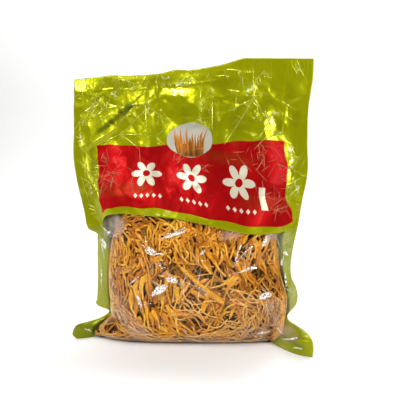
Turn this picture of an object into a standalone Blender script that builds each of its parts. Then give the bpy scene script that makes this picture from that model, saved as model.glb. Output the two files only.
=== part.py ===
"""A sealed plastic bag of dried cordyceps, standing on its folded base.

Units are metres and +Z is up. The origin is at the middle of the base, where the bag stands.
The bag's front faces -Y. Every table below is in millimetres, as (place, size) points on a
smooth curve, and MM turns them to metres.
"""

import math
import random

import bmesh
import bpy
import numpy as np
from mathutils import Matrix, Vector

MM = 0.001

# ---- Driving dimensions of the bag, in millimetres -------------------------------------------

FILM = 0.4  # wall of each film solid
HALF_GAP = 0.15  # from the middle plane to each film, where the two are sealed together
PRINT_EDGE = 114.0  # height of the line where the printing ends and the clear window begins
TOP = 264.0  # mean height of the bag's top edge
SET_BACK = 4.0  # of the sealed edges' plane behind the base's middle, as the ears reach forward
SEAM_REACH = 8.0  # how far the base seam lies behind the sealed edges' plane

# Side edges of the bag: height, then distance from the middle. Each has its corner ear at the
# foot, a pinch just above it, and widens to the flat top.
LEFT_EDGE = [
    (0, 106), (3, 109.5), (8, 109.5), (12, 107.5), (14.5, 104.5), (16, 97), (18.5, 86), (22, 80.3),
    (25, 80), (28, 87), (31, 91.8), (38, 91.5), (53, 91), (85, 91), (102, 91), (107, 92),
    (110, 99.5), (115, 102), (123, 103.5), (150, 111), (180, 117.2), (210, 117.4), (290, 118.4),
]
RIGHT_EDGE = [
    (0, 118), (4, 118.6), (9, 118.8), (14, 118), (18, 115), (20.5, 109), (23, 101), (27, 97.5),
    (31, 100.3), (36, 104.7), (44, 107.2), (54, 106), (66, 101.5), (80, 100.8), (96, 103),
    (114, 107), (140, 111.5), (162, 116), (192, 116), (222, 117), (246, 121), (290, 121.6),
]

# Inner edges of the side seals, where the two films part round the contents.
LEFT_POCKET = [
    (0, -90), (4, -92.5), (9, -92), (14, -86), (19, -78.5), (25, -77.5), (31, -79), (60, -81),
    (92, -80), (114, -88), (140, -98), (180, -108), (290, -110),
]
RIGHT_POCKET = [
    (0, 82), (5, 87), (12, 91.5), (22, 95.5), (34, 99), (46, 99), (58, 95.5), (72, 92.5),
    (96, 93), (114, 96), (140, 100), (180, 106), (290, 109),
]

# How far the films stand out from the middle plane at each height.
FRONT_BULGE = [
    (0, 15), (3, 21), (8, 26.5), (16, 29.4), (40, 30), (75, 29.5), (100, 27.5), (120, 23.5),
    (140, 17), (160, 10.5), (182, 5.5), (210, 2.5), (238, 0.8), (250, 0), (290, 0),
]
BACK_BULGE = [
    (0, 20), (3, 25), (8, 28), (16, 29.4), (40, 30), (75, 28.5), (100, 25.5), (120, 20.5),
    (140, 14), (160, 8.5), (182, 4.5), (210, 2), (238, 0.6), (250, 0), (290, 0),
]

# The printing's lower edge and the top edge, which the contents and the creases pull out of line.
PRINT_SAG = [(-99, -4), (-86, -2.5), (-79, 5.5), (-70, 8), (-37, 7), (-8, 4.5), (17, 0), (43, -6),
             (64, -9.5), (82, -9.5), (97, -8), (106, -4)]
TOP_EDGE = [(-119, 259.5), (-95, 261), (-78, 262.2), (-66, 261.4), (-44, 261.2), (-28, 262),
            (-12, 264.8), (3, 263.8), (25, 265.6), (40, 267.4), (56, 270.4), (66, 270.2),
            (119, 269.3)]
# How far the top edge leans back, for each place across it. The fold at 60 mm stands forward.
TOP_LEAN = [(-120, 9), (-60, 7), (-10, 5), (30, 0), (60, -6), (90, -3), (120, 0)]

EAR_HEIGHT, EAR_FLAT = 30.0, 13.0  # the corner ears end here, and are flat up to here
EAR_ROOT, EAR_WIDTH = 82.0, 37.0  # where the ears begin, from the middle, and how far they reach
EAR_CURL = {-1: 20.0, 1: 41.0}  # how far the left and the right ear's tip bend forward
FOOT_TWIST, FOOT_SPAN = 0.5, 90.0  # the front's foot stands further forward at the left
FOOT_HEIGHT = 40.0  # the twist ends here
# Middle of the whole bag's box, measured from the middle of its base, as its corners are uneven.
BOX_MIDDLE = (1.92, -1.44)
FOLD_PITCH, FOLD_HEIGHT = 58.0, 2.2  # soft upright folds over the shoulders of the contents

# Places of the mesh lines: shares of the half width, and heights.
COLUMNS = [0, 0.1, 0.2, 0.3, 0.4, 0.5, 0.6, 0.68, 0.75, 0.82, 0.89, 1.0]
WINDOW_ROWS = [0, 3, 8, 14, 17, 20, 26, 30, 35, 47, 66, 88, 105, 109, PRINT_EDGE - HALF_GAP]
PRINT_ROWS = [PRINT_EDGE + HALF_GAP, 128, 144, 162, 182, 202, 222, 238, 250, TOP]
BACK_ROWS = [*WINDOW_ROWS[:-1], PRINT_EDGE, *PRINT_ROWS[1:]]
FLAP_STEPS = [0.35, 0.7, 1.0]

# ---- The dried cordyceps ----------------------------------------------------------------------

CLUBS = 32  # separate pieces modelled whole, behind the window
CLUB_SEED = 11
TRIES = 4000
CLUB_POINTS = 11
CLUB_LENGTHS = (38.0, 62.0)
HEAD_RADIUS = (1.7, 2.3)  # the swollen fertile head
STALK_SHARE = 0.42  # the stalk's radius as a share of the head's
LAYER_STEP = 5.3  # from one layer of clubs to the next behind it
FILM_CLEARANCE = 1.0  # from the window to the first layer, more than the facets' sag
PIECE_CLEARANCE = 0.6  # between two clubs
MASS_RECESS = 11.6  # depth of the two layers of clubs in front of the packed mass
MASS_INSET = 5.0  # from the pocket's inner edges to the mass
MASS_ROWS = [1.2, 5, 14, 20, 28, 46, 66, 86, 104, 120, 134, 146]
MASS_SIDES = 30
MASS_LUMP = 1.6  # depth of the hollows between the mass's lumps


def along(table, at):
    """Reads a smooth curve through the (place, value) points of a table."""
    places, values = np.array(table, float).T
    slopes = np.gradient(values, places)
    at = np.clip(at, places[0], places[-1])
    k = np.clip(np.searchsorted(places, at, side="right") - 1, 0, len(places) - 2)
    gap = places[k + 1] - places[k]
    t = (at - places[k]) / gap
    start = (1 + 2 * t) * (1 - t) ** 2 * values[k] + t * (1 - t) ** 2 * gap * slopes[k]
    end = t * t * (3 - 2 * t) * values[k + 1] + t * t * (t - 1) * gap * slopes[k + 1]
    return start + end


def pocket(x, z):
    """Place across the pocket between the side seals: 0 in the middle, 1 at either seal."""
    left, right = along(LEFT_POCKET, z), along(RIGHT_POCKET, z)
    return np.abs(2 * x - left - right) / (right - left)


def fullness(across):
    """Share of the full bulge that the film keeps at a place across the pocket."""
    return (1 - np.clip(across, 0, 1) ** 3.3) ** 0.8


def bulge(x, z, side):
    """How far a film stands out from the middle plane, away from the pocket's rim."""
    if side > 0:
        return np.maximum(along(BACK_BULGE, z), 0)
    twist = 1 - FOOT_TWIST * x / FOOT_SPAN * np.clip(1 - z / FOOT_HEIGHT, 0, 1)
    return np.maximum(along(FRONT_BULGE, z), 0) * twist


def middle(x, z):
    """Depth of the plane in which the seals lie, with its lean, folds and ears."""
    lean = np.clip((z - 120) / 140, 0, 1.1) ** 1.5 * along(TOP_LEAN, x)
    sway = FOLD_HEIGHT * np.sin(2 * math.pi * (x + 0.15 * z) / FOLD_PITCH)
    folds = sway * np.sin(math.pi * np.clip((z - 140) / 120, 0, 1))
    ear = 1 - np.clip((z - EAR_FLAT) / (EAR_HEIGHT - EAR_FLAT), 0, 1)
    reach = np.clip((np.abs(x) - EAR_ROOT) / EAR_WIDTH, 0, 1)
    reach = reach * (2 - reach)
    curl = np.where(x < 0, EAR_CURL[-1], EAR_CURL[1])
    return SET_BACK + lean + folds - curl * ear * ear * (3 - 2 * ear) * reach


def film_depth(x, z, side):
    """Depth of a film's outer face. side is -1 for the front film and 1 for the back film."""
    step = 0.5
    slope_x = (middle(x + step, z) - middle(x - step, z)) / (2 * step)
    slope_z = (middle(x, z + step) - middle(x, z - step)) / (2 * step)
    apart = (HALF_GAP + FILM) * np.sqrt(1 + slope_x**2 + slope_z**2)
    return middle(x, z) + side * (apart + bulge(x, z, side) * fullness(pocket(x, z)))


def film_place(share, row):
    """Where a mesh point of a film lies, seen from the front."""
    x = share * along(LEFT_EDGE if share < 0 else RIGHT_EDGE, row)
    window = math.cos(math.pi / 2 * np.clip((row - PRINT_EDGE) / 115, -1, 1)) ** 2
    rise = np.clip((row - 140) / (TOP - 140), 0, 1) ** 2
    z = row + window * along(PRINT_SAG, x) + rise * (along(TOP_EDGE, x) - TOP)
    return float(x), float(z)


def material(name, colour, roughness, metallic=0.0, alpha=1.0):
    made = bpy.data.materials.new(name)
    made.use_nodes = True
    shader = made.node_tree.nodes["Principled BSDF"]
    shader.inputs["Base Color"].default_value = (*colour, 1)
    shader.inputs["Roughness"].default_value = roughness
    shader.inputs["Metallic"].default_value = metallic
    shader.inputs["Alpha"].default_value = alpha
    made.diffuse_color = (*colour, alpha)
    return made


def add_object(name, data, finish):
    made = bpy.data.objects.new(name, data)
    bpy.context.scene.collection.objects.link(made)
    data.materials.append(finish)
    return made


def film(name, rows, side, finish, base=False):
    """One film as a thin solid, swept from row to row, with its flap under the base."""
    shares = [-c for c in reversed(COLUMNS[1:])] + COLUMNS
    mesh = bmesh.new()
    grid = []
    for row in rows:
        places = [film_place(share, row) for share in shares]
        grid.append([(x, float(film_depth(x, z, side)), z) for x, z in places])
    verts = [[mesh.verts.new(Vector(point) * MM) for point in line] for line in grid]
    if base:
        verts = base_flap(mesh, verts[0], side) + verts
    for low, high in zip(verts, verts[1:]):
        for i in range(len(shares) - 1):
            a, b, c, d = low[i], low[i + 1], high[i + 1], high[i]
            for corners in ((a, b, c), (a, c, d)):
                if len(set(corners)) == 3:
                    mesh.faces.new(corners if side < 0 else corners[::-1])
    data = bpy.data.meshes.new(name)
    mesh.to_mesh(data)
    mesh.free()
    made = add_object(name, data, finish)
    wall = made.modifiers.new("film", "SOLIDIFY")
    wall.thickness = FILM * MM
    wall.offset = -1
    data.shade_smooth()
    return made


def base_flap(mesh, foot, side):
    """Flat rows of the film under the base, from its foot line to the seam behind the middle."""
    rows = [list(foot) for _ in FLAP_STEPS]
    for i, vertex in enumerate(foot):
        x, y, _ = vertex.co / MM
        full = float(fullness(pocket(x, 0.0)))
        if full < 0.03:
            continue
        seam = float(middle(x, 0.0)) + SEAM_REACH * min(1.0, full * 1.6) - 1 + side * HALF_GAP
        for row, step in zip(rows, FLAP_STEPS):
            row[i] = mesh.verts.new(Vector((x, y + (seam - y) * step, 0)) * MM)
    return rows[::-1]


def mass_depth(x, z, side):
    """Depth of the packed mass's face, before its lumps."""
    left, right = along(LEFT_POCKET, z) + MASS_INSET, along(RIGHT_POCKET, z) - MASS_INSET
    across = np.abs(2 * x - left - right) / (right - left)
    reach = bulge(x, z, side) - (MASS_RECESS if side < 0 else 1.6)
    return middle(x, z) + side * np.maximum(reach, 1.5) * fullness(across) ** 0.8


def packed_mass(finish):
    """The tangled mass as one lumpy solid, built from rings that are bridged together."""
    dice = random.Random(CLUB_SEED)
    mesh = bmesh.new()
    loops = []
    for row in MASS_ROWS:
        left = float(along(LEFT_POCKET, row)) + MASS_INSET
        right = float(along(RIGHT_POCKET, row)) - MASS_INSET
        shrink = 1.0 - 0.55 * max(0.0, (row - 120) / 26) ** 2
        made = bmesh.ops.create_circle(mesh, segments=MASS_SIDES, radius=1.0)
        for vertex in made["verts"]:
            turn = math.atan2(vertex.co.y, vertex.co.x)
            reach = math.copysign(abs(math.cos(turn)) ** 0.75, math.cos(turn)) * shrink
            x = (left + right) / 2 + reach * (right - left) / 2
            side = -1 if vertex.co.y < 0 else 1
            hollow = 1 - MASS_LUMP * dice.random() / 20
            y = SET_BACK + (float(mass_depth(x, row, side)) - SET_BACK) * hollow
            vertex.co = Vector((x * hollow, y, row)) * MM
        loops.append({e for v in made["verts"] for e in v.link_edges})
    for low, high in zip(loops, loops[1:]):
        bmesh.ops.bridge_loops(mesh, edges=list(low | high))
    bmesh.ops.holes_fill(mesh, edges=[e for e in mesh.edges if e.is_boundary])
    bmesh.ops.recalc_face_normals(mesh, faces=mesh.faces)
    data = bpy.data.meshes.new("strand_mass")
    mesh.to_mesh(data)
    mesh.free()
    data.shade_smooth()
    return add_object("strand_mass", data, finish)


def club_radius(share, head, stalk):
    """Radius along a club, from its cut foot at 0 to its round tip at 1."""
    swell = 0.5 - 0.5 * math.cos(math.pi * min(1.0, max(0.0, (share - 0.45) / 0.3)))
    tip = math.sqrt(max(0.0, 1 - max(0.0, (share - 0.88) / 0.125) ** 2))
    return (stalk + (head - stalk) * swell) * max(tip, 0.25)


def grown_club(dice, layer):
    """Points and radii of one club that lies against the inside of the window."""
    length = dice.uniform(*CLUB_LENGTHS)
    head = dice.uniform(*HEAD_RADIUS)
    share = np.linspace(0, 1, CLUB_POINTS)
    step = length / (CLUB_POINTS - 1)
    turn = math.radians(dice.uniform(-70, 70))
    heading = math.radians(dice.gauss(90, 48)) + turn * share
    x = dice.uniform(-68, 86) + np.cumsum(step * np.cos(heading))
    z = dice.uniform(12, 96) + np.cumsum(step * np.sin(heading))
    face = film_depth(x, z, -1) + FILM
    slope_x = (film_depth(x + 1, z, -1) - film_depth(x - 1, z, -1)) / 2
    slope_z = (film_depth(x, z + 1, -1) - film_depth(x, z - 1, -1)) / 2
    inward = np.stack([-slope_x, np.ones_like(x), -slope_z], axis=1)
    inward /= np.linalg.norm(inward, axis=1)[:, None]
    depth = FILM_CLEARANCE + HEAD_RADIUS[1] + layer * LAYER_STEP
    points = np.stack([x, face, z], axis=1) + inward * depth
    radii = np.array([club_radius(s, head, head * STALK_SHARE) for s in share])
    return points, radii


def fits(points, radii, others):
    """True where a club stays in the window, off the mass, and clear of the others."""
    x, y, z = points.T
    if z.min() < 9 or z.max() > 106 or pocket(x, z).max() > 0.86:
        return False
    slope = (mass_depth(x + 1, z, -1) - mass_depth(x - 1, z, -1)) / 2
    room = (mass_depth(x, z, -1) - y) / np.hypot(1, slope)
    if (room < radii + PIECE_CLEARANCE).any():
        return False
    fine, wide = in_between(points, radii)
    for other, other_wide in others:
        apart = np.linalg.norm(fine[:, None] - other[None], axis=2)
        if (apart < wide[:, None] + other_wide[None] + PIECE_CLEARANCE).any():
            return False
    return True


def in_between(points, radii):
    """The same points with three more between each two, for the clearance test."""
    places = np.arange(CLUB_POINTS)
    fine = np.linspace(0, CLUB_POINTS - 1, 4 * (CLUB_POINTS - 1) + 1)
    filled = [np.interp(fine, places, points[:, axis]) for axis in range(3)]
    return np.stack(filled, axis=1), np.interp(fine, places, radii)


def club(number, points, radii, finish):
    """One dried club as a tapered tube with closed ends."""
    name = f"club_{number:02d}"
    data = bpy.data.curves.new(name, "CURVE")
    data.dimensions = "3D"
    data.bevel_depth = MM
    data.bevel_resolution = 1
    data.use_fill_caps = True
    line = data.splines.new("POLY")
    line.points.add(len(points) - 1)
    for place, point, radius in zip(line.points, points, radii):
        place.co = (*(point * MM), 1)
        place.radius = radius
    line.use_smooth = True
    return add_object(name, data, finish)


def main():
    for old in list(bpy.data.objects):
        bpy.data.objects.remove(old, do_unlink=True)
    clear = material("clear film", (0.86, 0.86, 0.80), 0.12, alpha=0.25)
    printed = material("green printed film", (0.27, 0.33, 0.02), 0.22, metallic=0.4)
    orange = material("dried club", (0.66, 0.27, 0.04), 0.6)
    brown = material("packed stalks", (0.42, 0.20, 0.06), 0.75)
    film("clear_window", WINDOW_ROWS, -1, clear, base=True)
    film("printed_front", PRINT_ROWS, -1, printed)
    film("back_film", BACK_ROWS, 1, printed, base=True)
    packed_mass(brown)
    dice = random.Random(CLUB_SEED)
    placed, tested = [], []
    for attempt in range(TRIES):
        if len(placed) == CLUBS:
            break
        points, radii = grown_club(dice, attempt % 2)
        if fits(points, radii, tested):
            placed.append((points, radii))
            tested.append(in_between(points, radii))
    for number, (points, radii) in enumerate(placed, 1):
        club(number, points, radii, orange)
    to_origin = Matrix.Translation((-BOX_MIDDLE[0] * MM, -BOX_MIDDLE[1] * MM, 0))
    for made in bpy.context.scene.objects:
        made.data.transform(to_origin)


main()
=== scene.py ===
"""A sealed bag of dried cordyceps: printed film above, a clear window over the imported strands."""

import math
import random

import bpy
import numpy as np
from mathutils import Matrix, Vector
from mathutils.bvhtree import BVHTree
from mathutils.geometry import delaunay_2d_cdt


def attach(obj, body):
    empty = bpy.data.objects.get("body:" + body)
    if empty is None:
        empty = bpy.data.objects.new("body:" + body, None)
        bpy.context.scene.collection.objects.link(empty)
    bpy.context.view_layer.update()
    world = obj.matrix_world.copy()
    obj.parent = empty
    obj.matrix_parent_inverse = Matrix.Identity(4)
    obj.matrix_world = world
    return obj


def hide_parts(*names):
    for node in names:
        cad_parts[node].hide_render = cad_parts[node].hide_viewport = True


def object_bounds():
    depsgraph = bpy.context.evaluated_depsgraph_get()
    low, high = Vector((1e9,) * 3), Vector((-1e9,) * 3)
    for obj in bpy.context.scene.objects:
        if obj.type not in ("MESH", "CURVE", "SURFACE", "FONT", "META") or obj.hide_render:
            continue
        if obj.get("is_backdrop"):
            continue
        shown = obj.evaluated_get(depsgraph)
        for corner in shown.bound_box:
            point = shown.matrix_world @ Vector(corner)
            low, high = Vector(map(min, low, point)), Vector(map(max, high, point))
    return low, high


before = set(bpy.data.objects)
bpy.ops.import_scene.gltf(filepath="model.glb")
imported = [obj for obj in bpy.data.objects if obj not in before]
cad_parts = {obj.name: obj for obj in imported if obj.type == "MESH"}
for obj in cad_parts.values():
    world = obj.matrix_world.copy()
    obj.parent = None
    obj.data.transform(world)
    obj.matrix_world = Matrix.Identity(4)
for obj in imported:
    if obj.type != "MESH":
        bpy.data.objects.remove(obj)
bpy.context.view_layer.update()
bpy.ops.object.select_all(action="DESELECT")

# ---- Back film --------------------------------------------------------------------------------
# One sheet of laminated plastic film, printed yellow-green all over on its inner side. It makes
# the bag's back, its corner ears and the rear half of the base, and is heat sealed to the front
# film along both sides and the top. All sizes are in millimetres, as in the solid model.

MM = 0.001
FILM = 0.15
WALL = 0.4  # the same film in the solid model
HALF_GAP = 0.15  # half the gap along the seals, and where the printing ends
PRINT_EDGE = 114.0  # height of the printing's lower edge
TOP = 264.0
SET_BACK = 4.0  # of the seals' plane behind the middle of the base
SEAM_REACH = 8.0  # of the base's seam behind that plane

# How far the bag's left and right edges lie from its middle, by height.
LEFT_EDGE = [
    (0, 106), (3, 109.5), (8, 109.5), (12, 107.5), (14.5, 104.5), (16, 97), (18.5, 86), (22, 80.3),
    (25, 80), (28, 87), (31, 91.8), (38, 91.5), (53, 91), (85, 91), (102, 91), (107, 92),
    (110, 99.5), (115, 102), (123, 103.5), (150, 111), (180, 117.2), (210, 117.4), (290, 118.4),
]
RIGHT_EDGE = [
    (0, 118), (4, 118.6), (9, 118.8), (14, 118), (18, 115), (20.5, 109), (23, 101), (27, 97.5),
    (31, 100.3), (36, 104.7), (44, 107.2), (54, 106), (66, 101.5), (80, 100.8), (96, 103),
    (114, 107), (140, 111.5), (162, 116), (192, 116), (222, 117), (246, 121), (290, 121.6),
]
# Where the side seals end and the pocket begins, by height.
LEFT_POCKET = [
    (0, -90), (4, -92.5), (9, -92), (14, -86), (19, -78.5), (25, -77.5), (31, -79), (60, -81),
    (92, -80), (114, -88), (140, -98), (180, -108), (290, -110),
]
RIGHT_POCKET = [
    (0, 82), (5, 87), (12, 91.5), (22, 95.5), (34, 99), (46, 99), (58, 95.5), (72, 92.5),
    (96, 93), (114, 96), (140, 100), (180, 106), (290, 109),
]
# How far the filled bag's front and back stand out from the seals' plane, by height.
FRONT_BULGE = [
    (0, 15), (3, 21), (8, 26.5), (16, 29.4), (40, 30), (75, 29.5), (100, 27.5), (120, 23.5),
    (140, 17), (160, 10.5), (182, 5.5), (210, 2.5), (238, 0.8), (250, 0), (290, 0),
]
BACK_BULGE = [
    (0, 20), (3, 25), (8, 28), (16, 29.4), (40, 30), (75, 28.5), (100, 25.5), (120, 20.5),
    (140, 14), (160, 8.5), (182, 4.5), (210, 2), (238, 0.6), (250, 0), (290, 0),
]
# From left to right: how far the printing's lower edge sags or rises, the height of the bag's
# upper edge, and how far that edge leans back.
PRINT_SAG = [(-99, -4), (-86, -2.5), (-79, 5.5), (-70, 8), (-37, 7), (-8, 4.5), (17, 0), (43, -6),
             (64, -9.5), (82, -9.5), (97, -8), (106, -4)]
TOP_EDGE = [(-119, 259.5), (-95, 261), (-78, 262.2), (-66, 261.4), (-44, 261.2), (-28, 262),
            (-12, 264.8), (3, 263.8), (25, 265.6), (40, 267.4), (56, 270.4), (66, 270.2),
            (119, 269.3)]
TOP_LEAN = [(-120, 9), (-60, 7), (-10, 5), (30, 0), (60, -6), (90, -3), (120, 0)]

# The ears at the foot: how high they reach, how high they stay flat, where they start, how wide
# they are, and how far forward the left and the right one curl.
EAR_HEIGHT, EAR_FLAT = 30.0, 13.0
EAR_ROOT, EAR_WIDTH = 82.0, 37.0
LEFT_CURL, RIGHT_CURL = 20.0, 41.0

# The top's lean and the wide, low folds of the empty upper part: from what height, over how much.
LEAN_FROM, LEAN_OVER = 120.0, 140.0
FOLD_FROM, FOLD_OVER = 140.0, 120.0
FOLD_PITCH, FOLD_HEIGHT, FOLD_SLANT = 58.0, 2.2, 0.15

# How much more the foot bulges at its left, FOOT_SPAN from the middle, and up to what height.
FOOT_TWIST, FOOT_SPAN, FOOT_HEIGHT = 0.5, 90.0, 40.0
SAG_REACH = 115.0  # how far above and below its edge the printing's sag is felt
RISE_FROM = 140.0  # height above which the film follows the slant of the bag's upper edge
BOX_MIDDLE = (1.92, -1.44)  # of the whole bag, measured from the middle of its base
to_origin = Matrix.Translation((-BOX_MIDDLE[0] * MM, -BOX_MIDDLE[1] * MM, 0))


def along(table, at):
    """Reads a smooth curve through the (place, value) points of a table."""
    places, values = np.array(table, float).T
    slopes = np.gradient(values, places)
    at = np.clip(at, places[0], places[-1])
    k = np.clip(np.searchsorted(places, at, side="right") - 1, 0, len(places) - 2)
    gap = places[k + 1] - places[k]
    t = (at - places[k]) / gap
    start = (1 + 2 * t) * (1 - t) ** 2 * values[k] + t * (1 - t) ** 2 * gap * slopes[k]
    return start + t * t * (3 - 2 * t) * values[k + 1] + t * t * (t - 1) * gap * slopes[k + 1]


def pocket(x, z):
    """Place across the pocket between the side seals: 0 in the middle, 1 at either seal."""
    left, right = along(LEFT_POCKET, z), along(RIGHT_POCKET, z)
    return np.abs(2 * x - left - right) / (right - left)


def fullness(across):
    """Share of the full bulge that the film keeps at a place across the pocket."""
    return (1 - np.clip(across, 0, 1) ** 3.3) ** 0.8


def bulge(x, z, side):
    """How far a film stands out from the middle plane, away from the pocket's rim."""
    if side > 0:
        return np.maximum(along(BACK_BULGE, z), 0)
    twist = 1 - FOOT_TWIST * x / FOOT_SPAN * np.clip(1 - z / FOOT_HEIGHT, 0, 1)
    return np.maximum(along(FRONT_BULGE, z), 0) * twist


def middle(x, z):
    """Depth of the plane in which the seals lie, with its lean, folds and ears."""
    lean = np.clip((z - LEAN_FROM) / LEAN_OVER, 0, 1.1) ** 1.5 * along(TOP_LEAN, x)
    sway = FOLD_HEIGHT * np.sin(2 * math.pi * (x + FOLD_SLANT * z) / FOLD_PITCH)
    folds = sway * np.sin(math.pi * np.clip((z - FOLD_FROM) / FOLD_OVER, 0, 1))
    ear = 1 - np.clip((z - EAR_FLAT) / (EAR_HEIGHT - EAR_FLAT), 0, 1)
    reach = np.clip((np.abs(x) - EAR_ROOT) / EAR_WIDTH, 0, 1)
    reach = reach * (2 - reach)
    curl = np.where(x < 0, LEFT_CURL, RIGHT_CURL)
    return SET_BACK + lean + folds - curl * ear * ear * (3 - 2 * ear) * reach


def film_depth(x, z, side):
    """Depth of a film's outer face. side is -1 for the front film and 1 for the back film."""
    slope_x = middle(x + 0.5, z) - middle(x - 0.5, z)
    slope_z = middle(x, z + 0.5) - middle(x, z - 0.5)
    apart = (HALF_GAP + WALL) * np.sqrt(1 + slope_x**2 + slope_z**2)
    return middle(x, z) + side * (apart + bulge(x, z, side) * fullness(pocket(x, z)))


def film_place(share, row):
    """Where a point of the flat film lies on the standing bag, seen from the front."""
    x = share * np.where(share < 0, along(LEFT_EDGE, row), along(RIGHT_EDGE, row))
    sag = np.cos(math.pi / 2 * np.clip((row - PRINT_EDGE) / SAG_REACH, -1, 1)) ** 2
    rise = np.clip((row - RISE_FROM) / (TOP - RISE_FROM), 0, 1) ** 2
    return x, row + sag * along(PRINT_SAG, x) + rise * (along(TOP_EDGE, x) - TOP)


SHEET_SIDE, SHEET_FOOT, SHEET_HEAD = 150, -20, 300  # a little past the film on all sides


def crumpled(x, z, seed, pitch, height, folds=(), stretch=1.0):
    """Height of a crumpled sheet: flat facets between sharp folds, some of them listed."""
    dice = random.Random(seed)
    points = []
    wide, tall = pitch, pitch * stretch
    for i in range(int(-SHEET_SIDE / wide), int(SHEET_SIDE / wide) + 1):
        for j in range(int(SHEET_FOOT / tall), int(SHEET_HEAD / tall) + 1):
            at = ((i + dice.uniform(0.1, 0.9)) * wide, (j + dice.uniform(0.1, 0.9)) * tall)
            near = min((fold_distance(at, fold) for fold in folds), default=pitch)
            if near > pitch * 0.45:
                points.append((*at, dice.uniform(-height, height)))
    creases = []
    for x0, z0, x1, z1, rise in folds:
        count = max(2, int(math.hypot(x1 - x0, z1 - z0) / (pitch * 0.5)))
        first = len(points)
        for k in range(count + 1):
            t = k / count
            lift = rise * (0.45 + 0.55 * math.sin(math.pi * t))
            points.append((x0 + (x1 - x0) * t, z0 + (z1 - z0) * t, lift))
        creases += [(first + k, first + k + 1) for k in range(count)]
    flat = [Vector(p[:2]) for p in points]
    placed, _, faces, origin, _, _ = delaunay_2d_cdt(flat, creases, [], 0, 1e-4)
    lifts = [points[o[0]][2] if o else 0.0 for o in origin]
    tree = BVHTree.FromPolygons([(p.x, p.y, h) for p, h in zip(placed, lifts)], faces)
    above, down = 50.0, (0, 0, -1)
    found = [tree.ray_cast((a, b, above), down)[0] for a, b in zip(x.ravel(), z.ravel())]
    return np.array([hit.z if hit else 0.0 for hit in found]).reshape(x.shape)


def fold_distance(at, fold):
    """How far a place is from one of the listed folds."""
    x0, z0, x1, z1 = fold[:4]
    run = (x1 - x0) ** 2 + (z1 - z0) ** 2
    t = min(1, max(0, ((at[0] - x0) * (x1 - x0) + (at[1] - z0) * (z1 - z0)) / run))
    return math.hypot(at[0] - x0 - t * (x1 - x0), at[1] - z0 - t * (z1 - z0))


# The large folds above the contents and in the ears, pressed through both films: ends, then rise.
HARD_FOLDS = [
    (-54, 229, -72, 209, -1.9), (-72, 209, -97, 192, -1.7), (-40, 228, -49, 218, 1.9),
    (-49, 218, -63, 205, 2.0), (-63, 205, -96, 189, 1.7),
    (-43, 232, -16, 212, 1.5), (-16, 212, -30, 199, 1.2), (-30, 199, -68, 202, 1.5),
    (-43, 231, -40, 209, 1.8), (-43, 232, -84, 229, 1.2), (-80, 239, -84, 229, 1.6),
    (-104, 226, -88, 240, 1.0), (-104, 213, -82, 231, 1.2), (-66, 201, -46, 186, 1.6),
    (-46, 186, -45, 172, 1.2), (66, 232, 38, 190, 1.6), (66, 232, 42, 222, 1.2),
    (66, 233, 76, 215, 1.4), (66, 233, 65, 262, 1.0), (50, 236, 47, 222, 1.3),
    (76, 202, 70, 194, 1.2), (76, 202, 92, 200, 1.4), (92, 200, 78, 194, 1.1),
    (92, 218, 104, 211, 1.2), (104, 222, 92, 230, 1.2), (25, 236, 26, 205, 1.0),
    (-22, 240, -24, 257, 1.2), (-30, 246, -32, 261, 1.2), (14, 236, 15, 250, 1.0),
    (108, 176, 96, 182, 1.3), (112, 160, 98, 168, 1.5), (112, 158, 97, 150, -1.5),
    (84, 26, 114, 6, 1.8), (96, 13, 117, 12, -1.4), (-80, 22, -108, 4, 1.6),
    (-90, 12, -110, 11, -1.3), (104, 34, 108, 60, 1.0), (-88, 34, -90, 66, 1.0),
    (-92, 84, -88, 108, -1.0), (104, 74, 100, 108, 1.2), (98, 60, 104, 92, -0.8),
    (-112, 176, -96, 158, 1.2), (-110, 190, -96, 176, 1.4), (-108, 158, -98, 128, 1.5),
]


CREASE_DEPTH = 0.12
CREASE_FLANK = 1.1  # how far to its sides a crease draws the film in


def crease_lines(seed, groups, low, high, left=-112, right=112):
    """Sharp little creases in clusters: ends, half width and strength of each."""
    dice = random.Random(seed)
    lines = []
    for _ in range(groups):
        x, z = dice.uniform(left, right), dice.uniform(low, high)
        main = dice.uniform(0, math.pi)
        for _ in range(dice.randint(2, 5)):
            turn = main + dice.gauss(0, 0.6)
            half = dice.uniform(1.5, 7.5)
            a, b = x + dice.gauss(0, 4), z + dice.gauss(0, 4)
            reach_x, reach_z = half * math.cos(turn), half * math.sin(turn)
            lines.append((a - reach_x, b - reach_z, a + reach_x, b + reach_z,
                          dice.uniform(0.3, 0.55), dice.uniform(0.3, 1.0)))
    return lines


def near_creases(x, z, lines):
    """How near each point is to a crease, from 1 down to 0, and how far to which side of it."""
    near, side = np.zeros(x.shape), np.full(x.shape, 9.0)
    for x0, z0, x1, z1, width, strength in lines:
        run_x, run_z = x1 - x0, z1 - z0
        length = math.hypot(run_x, run_z)
        t = ((x - x0) * run_x + (z - z0) * run_z) / length**2
        off = ((x - x0) * run_z - (z - z0) * run_x) / length
        past = np.maximum(np.maximum(-t, t - 1), 0) * length
        gap = np.hypot(off, past)
        fade = np.sqrt(np.sin(math.pi * np.clip(t, 0.1, 0.9)))
        mine = strength * fade * np.exp(-((gap / CREASE_FLANK) ** 2))
        side = np.where(mine > near, off / width, side)
        near = np.maximum(near, mine)
    return near, side


# The creases that run through both films. Under the panel's right half the film is taut.
SHARED_CREASES = [
    line for line in crease_lines(31, 52, 118, 262) if not (12 < line[0] < 62 and line[1] < 144)
]
for cluster in ((41, 6, 126, 148, 82, 104), (42, 8, 168, 188, 50, 98),
                (43, 8, 142, 186, -96, -66), (44, 10, 196, 258, 30, 112)):
    SHARED_CREASES += crease_lines(*cluster)

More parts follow.
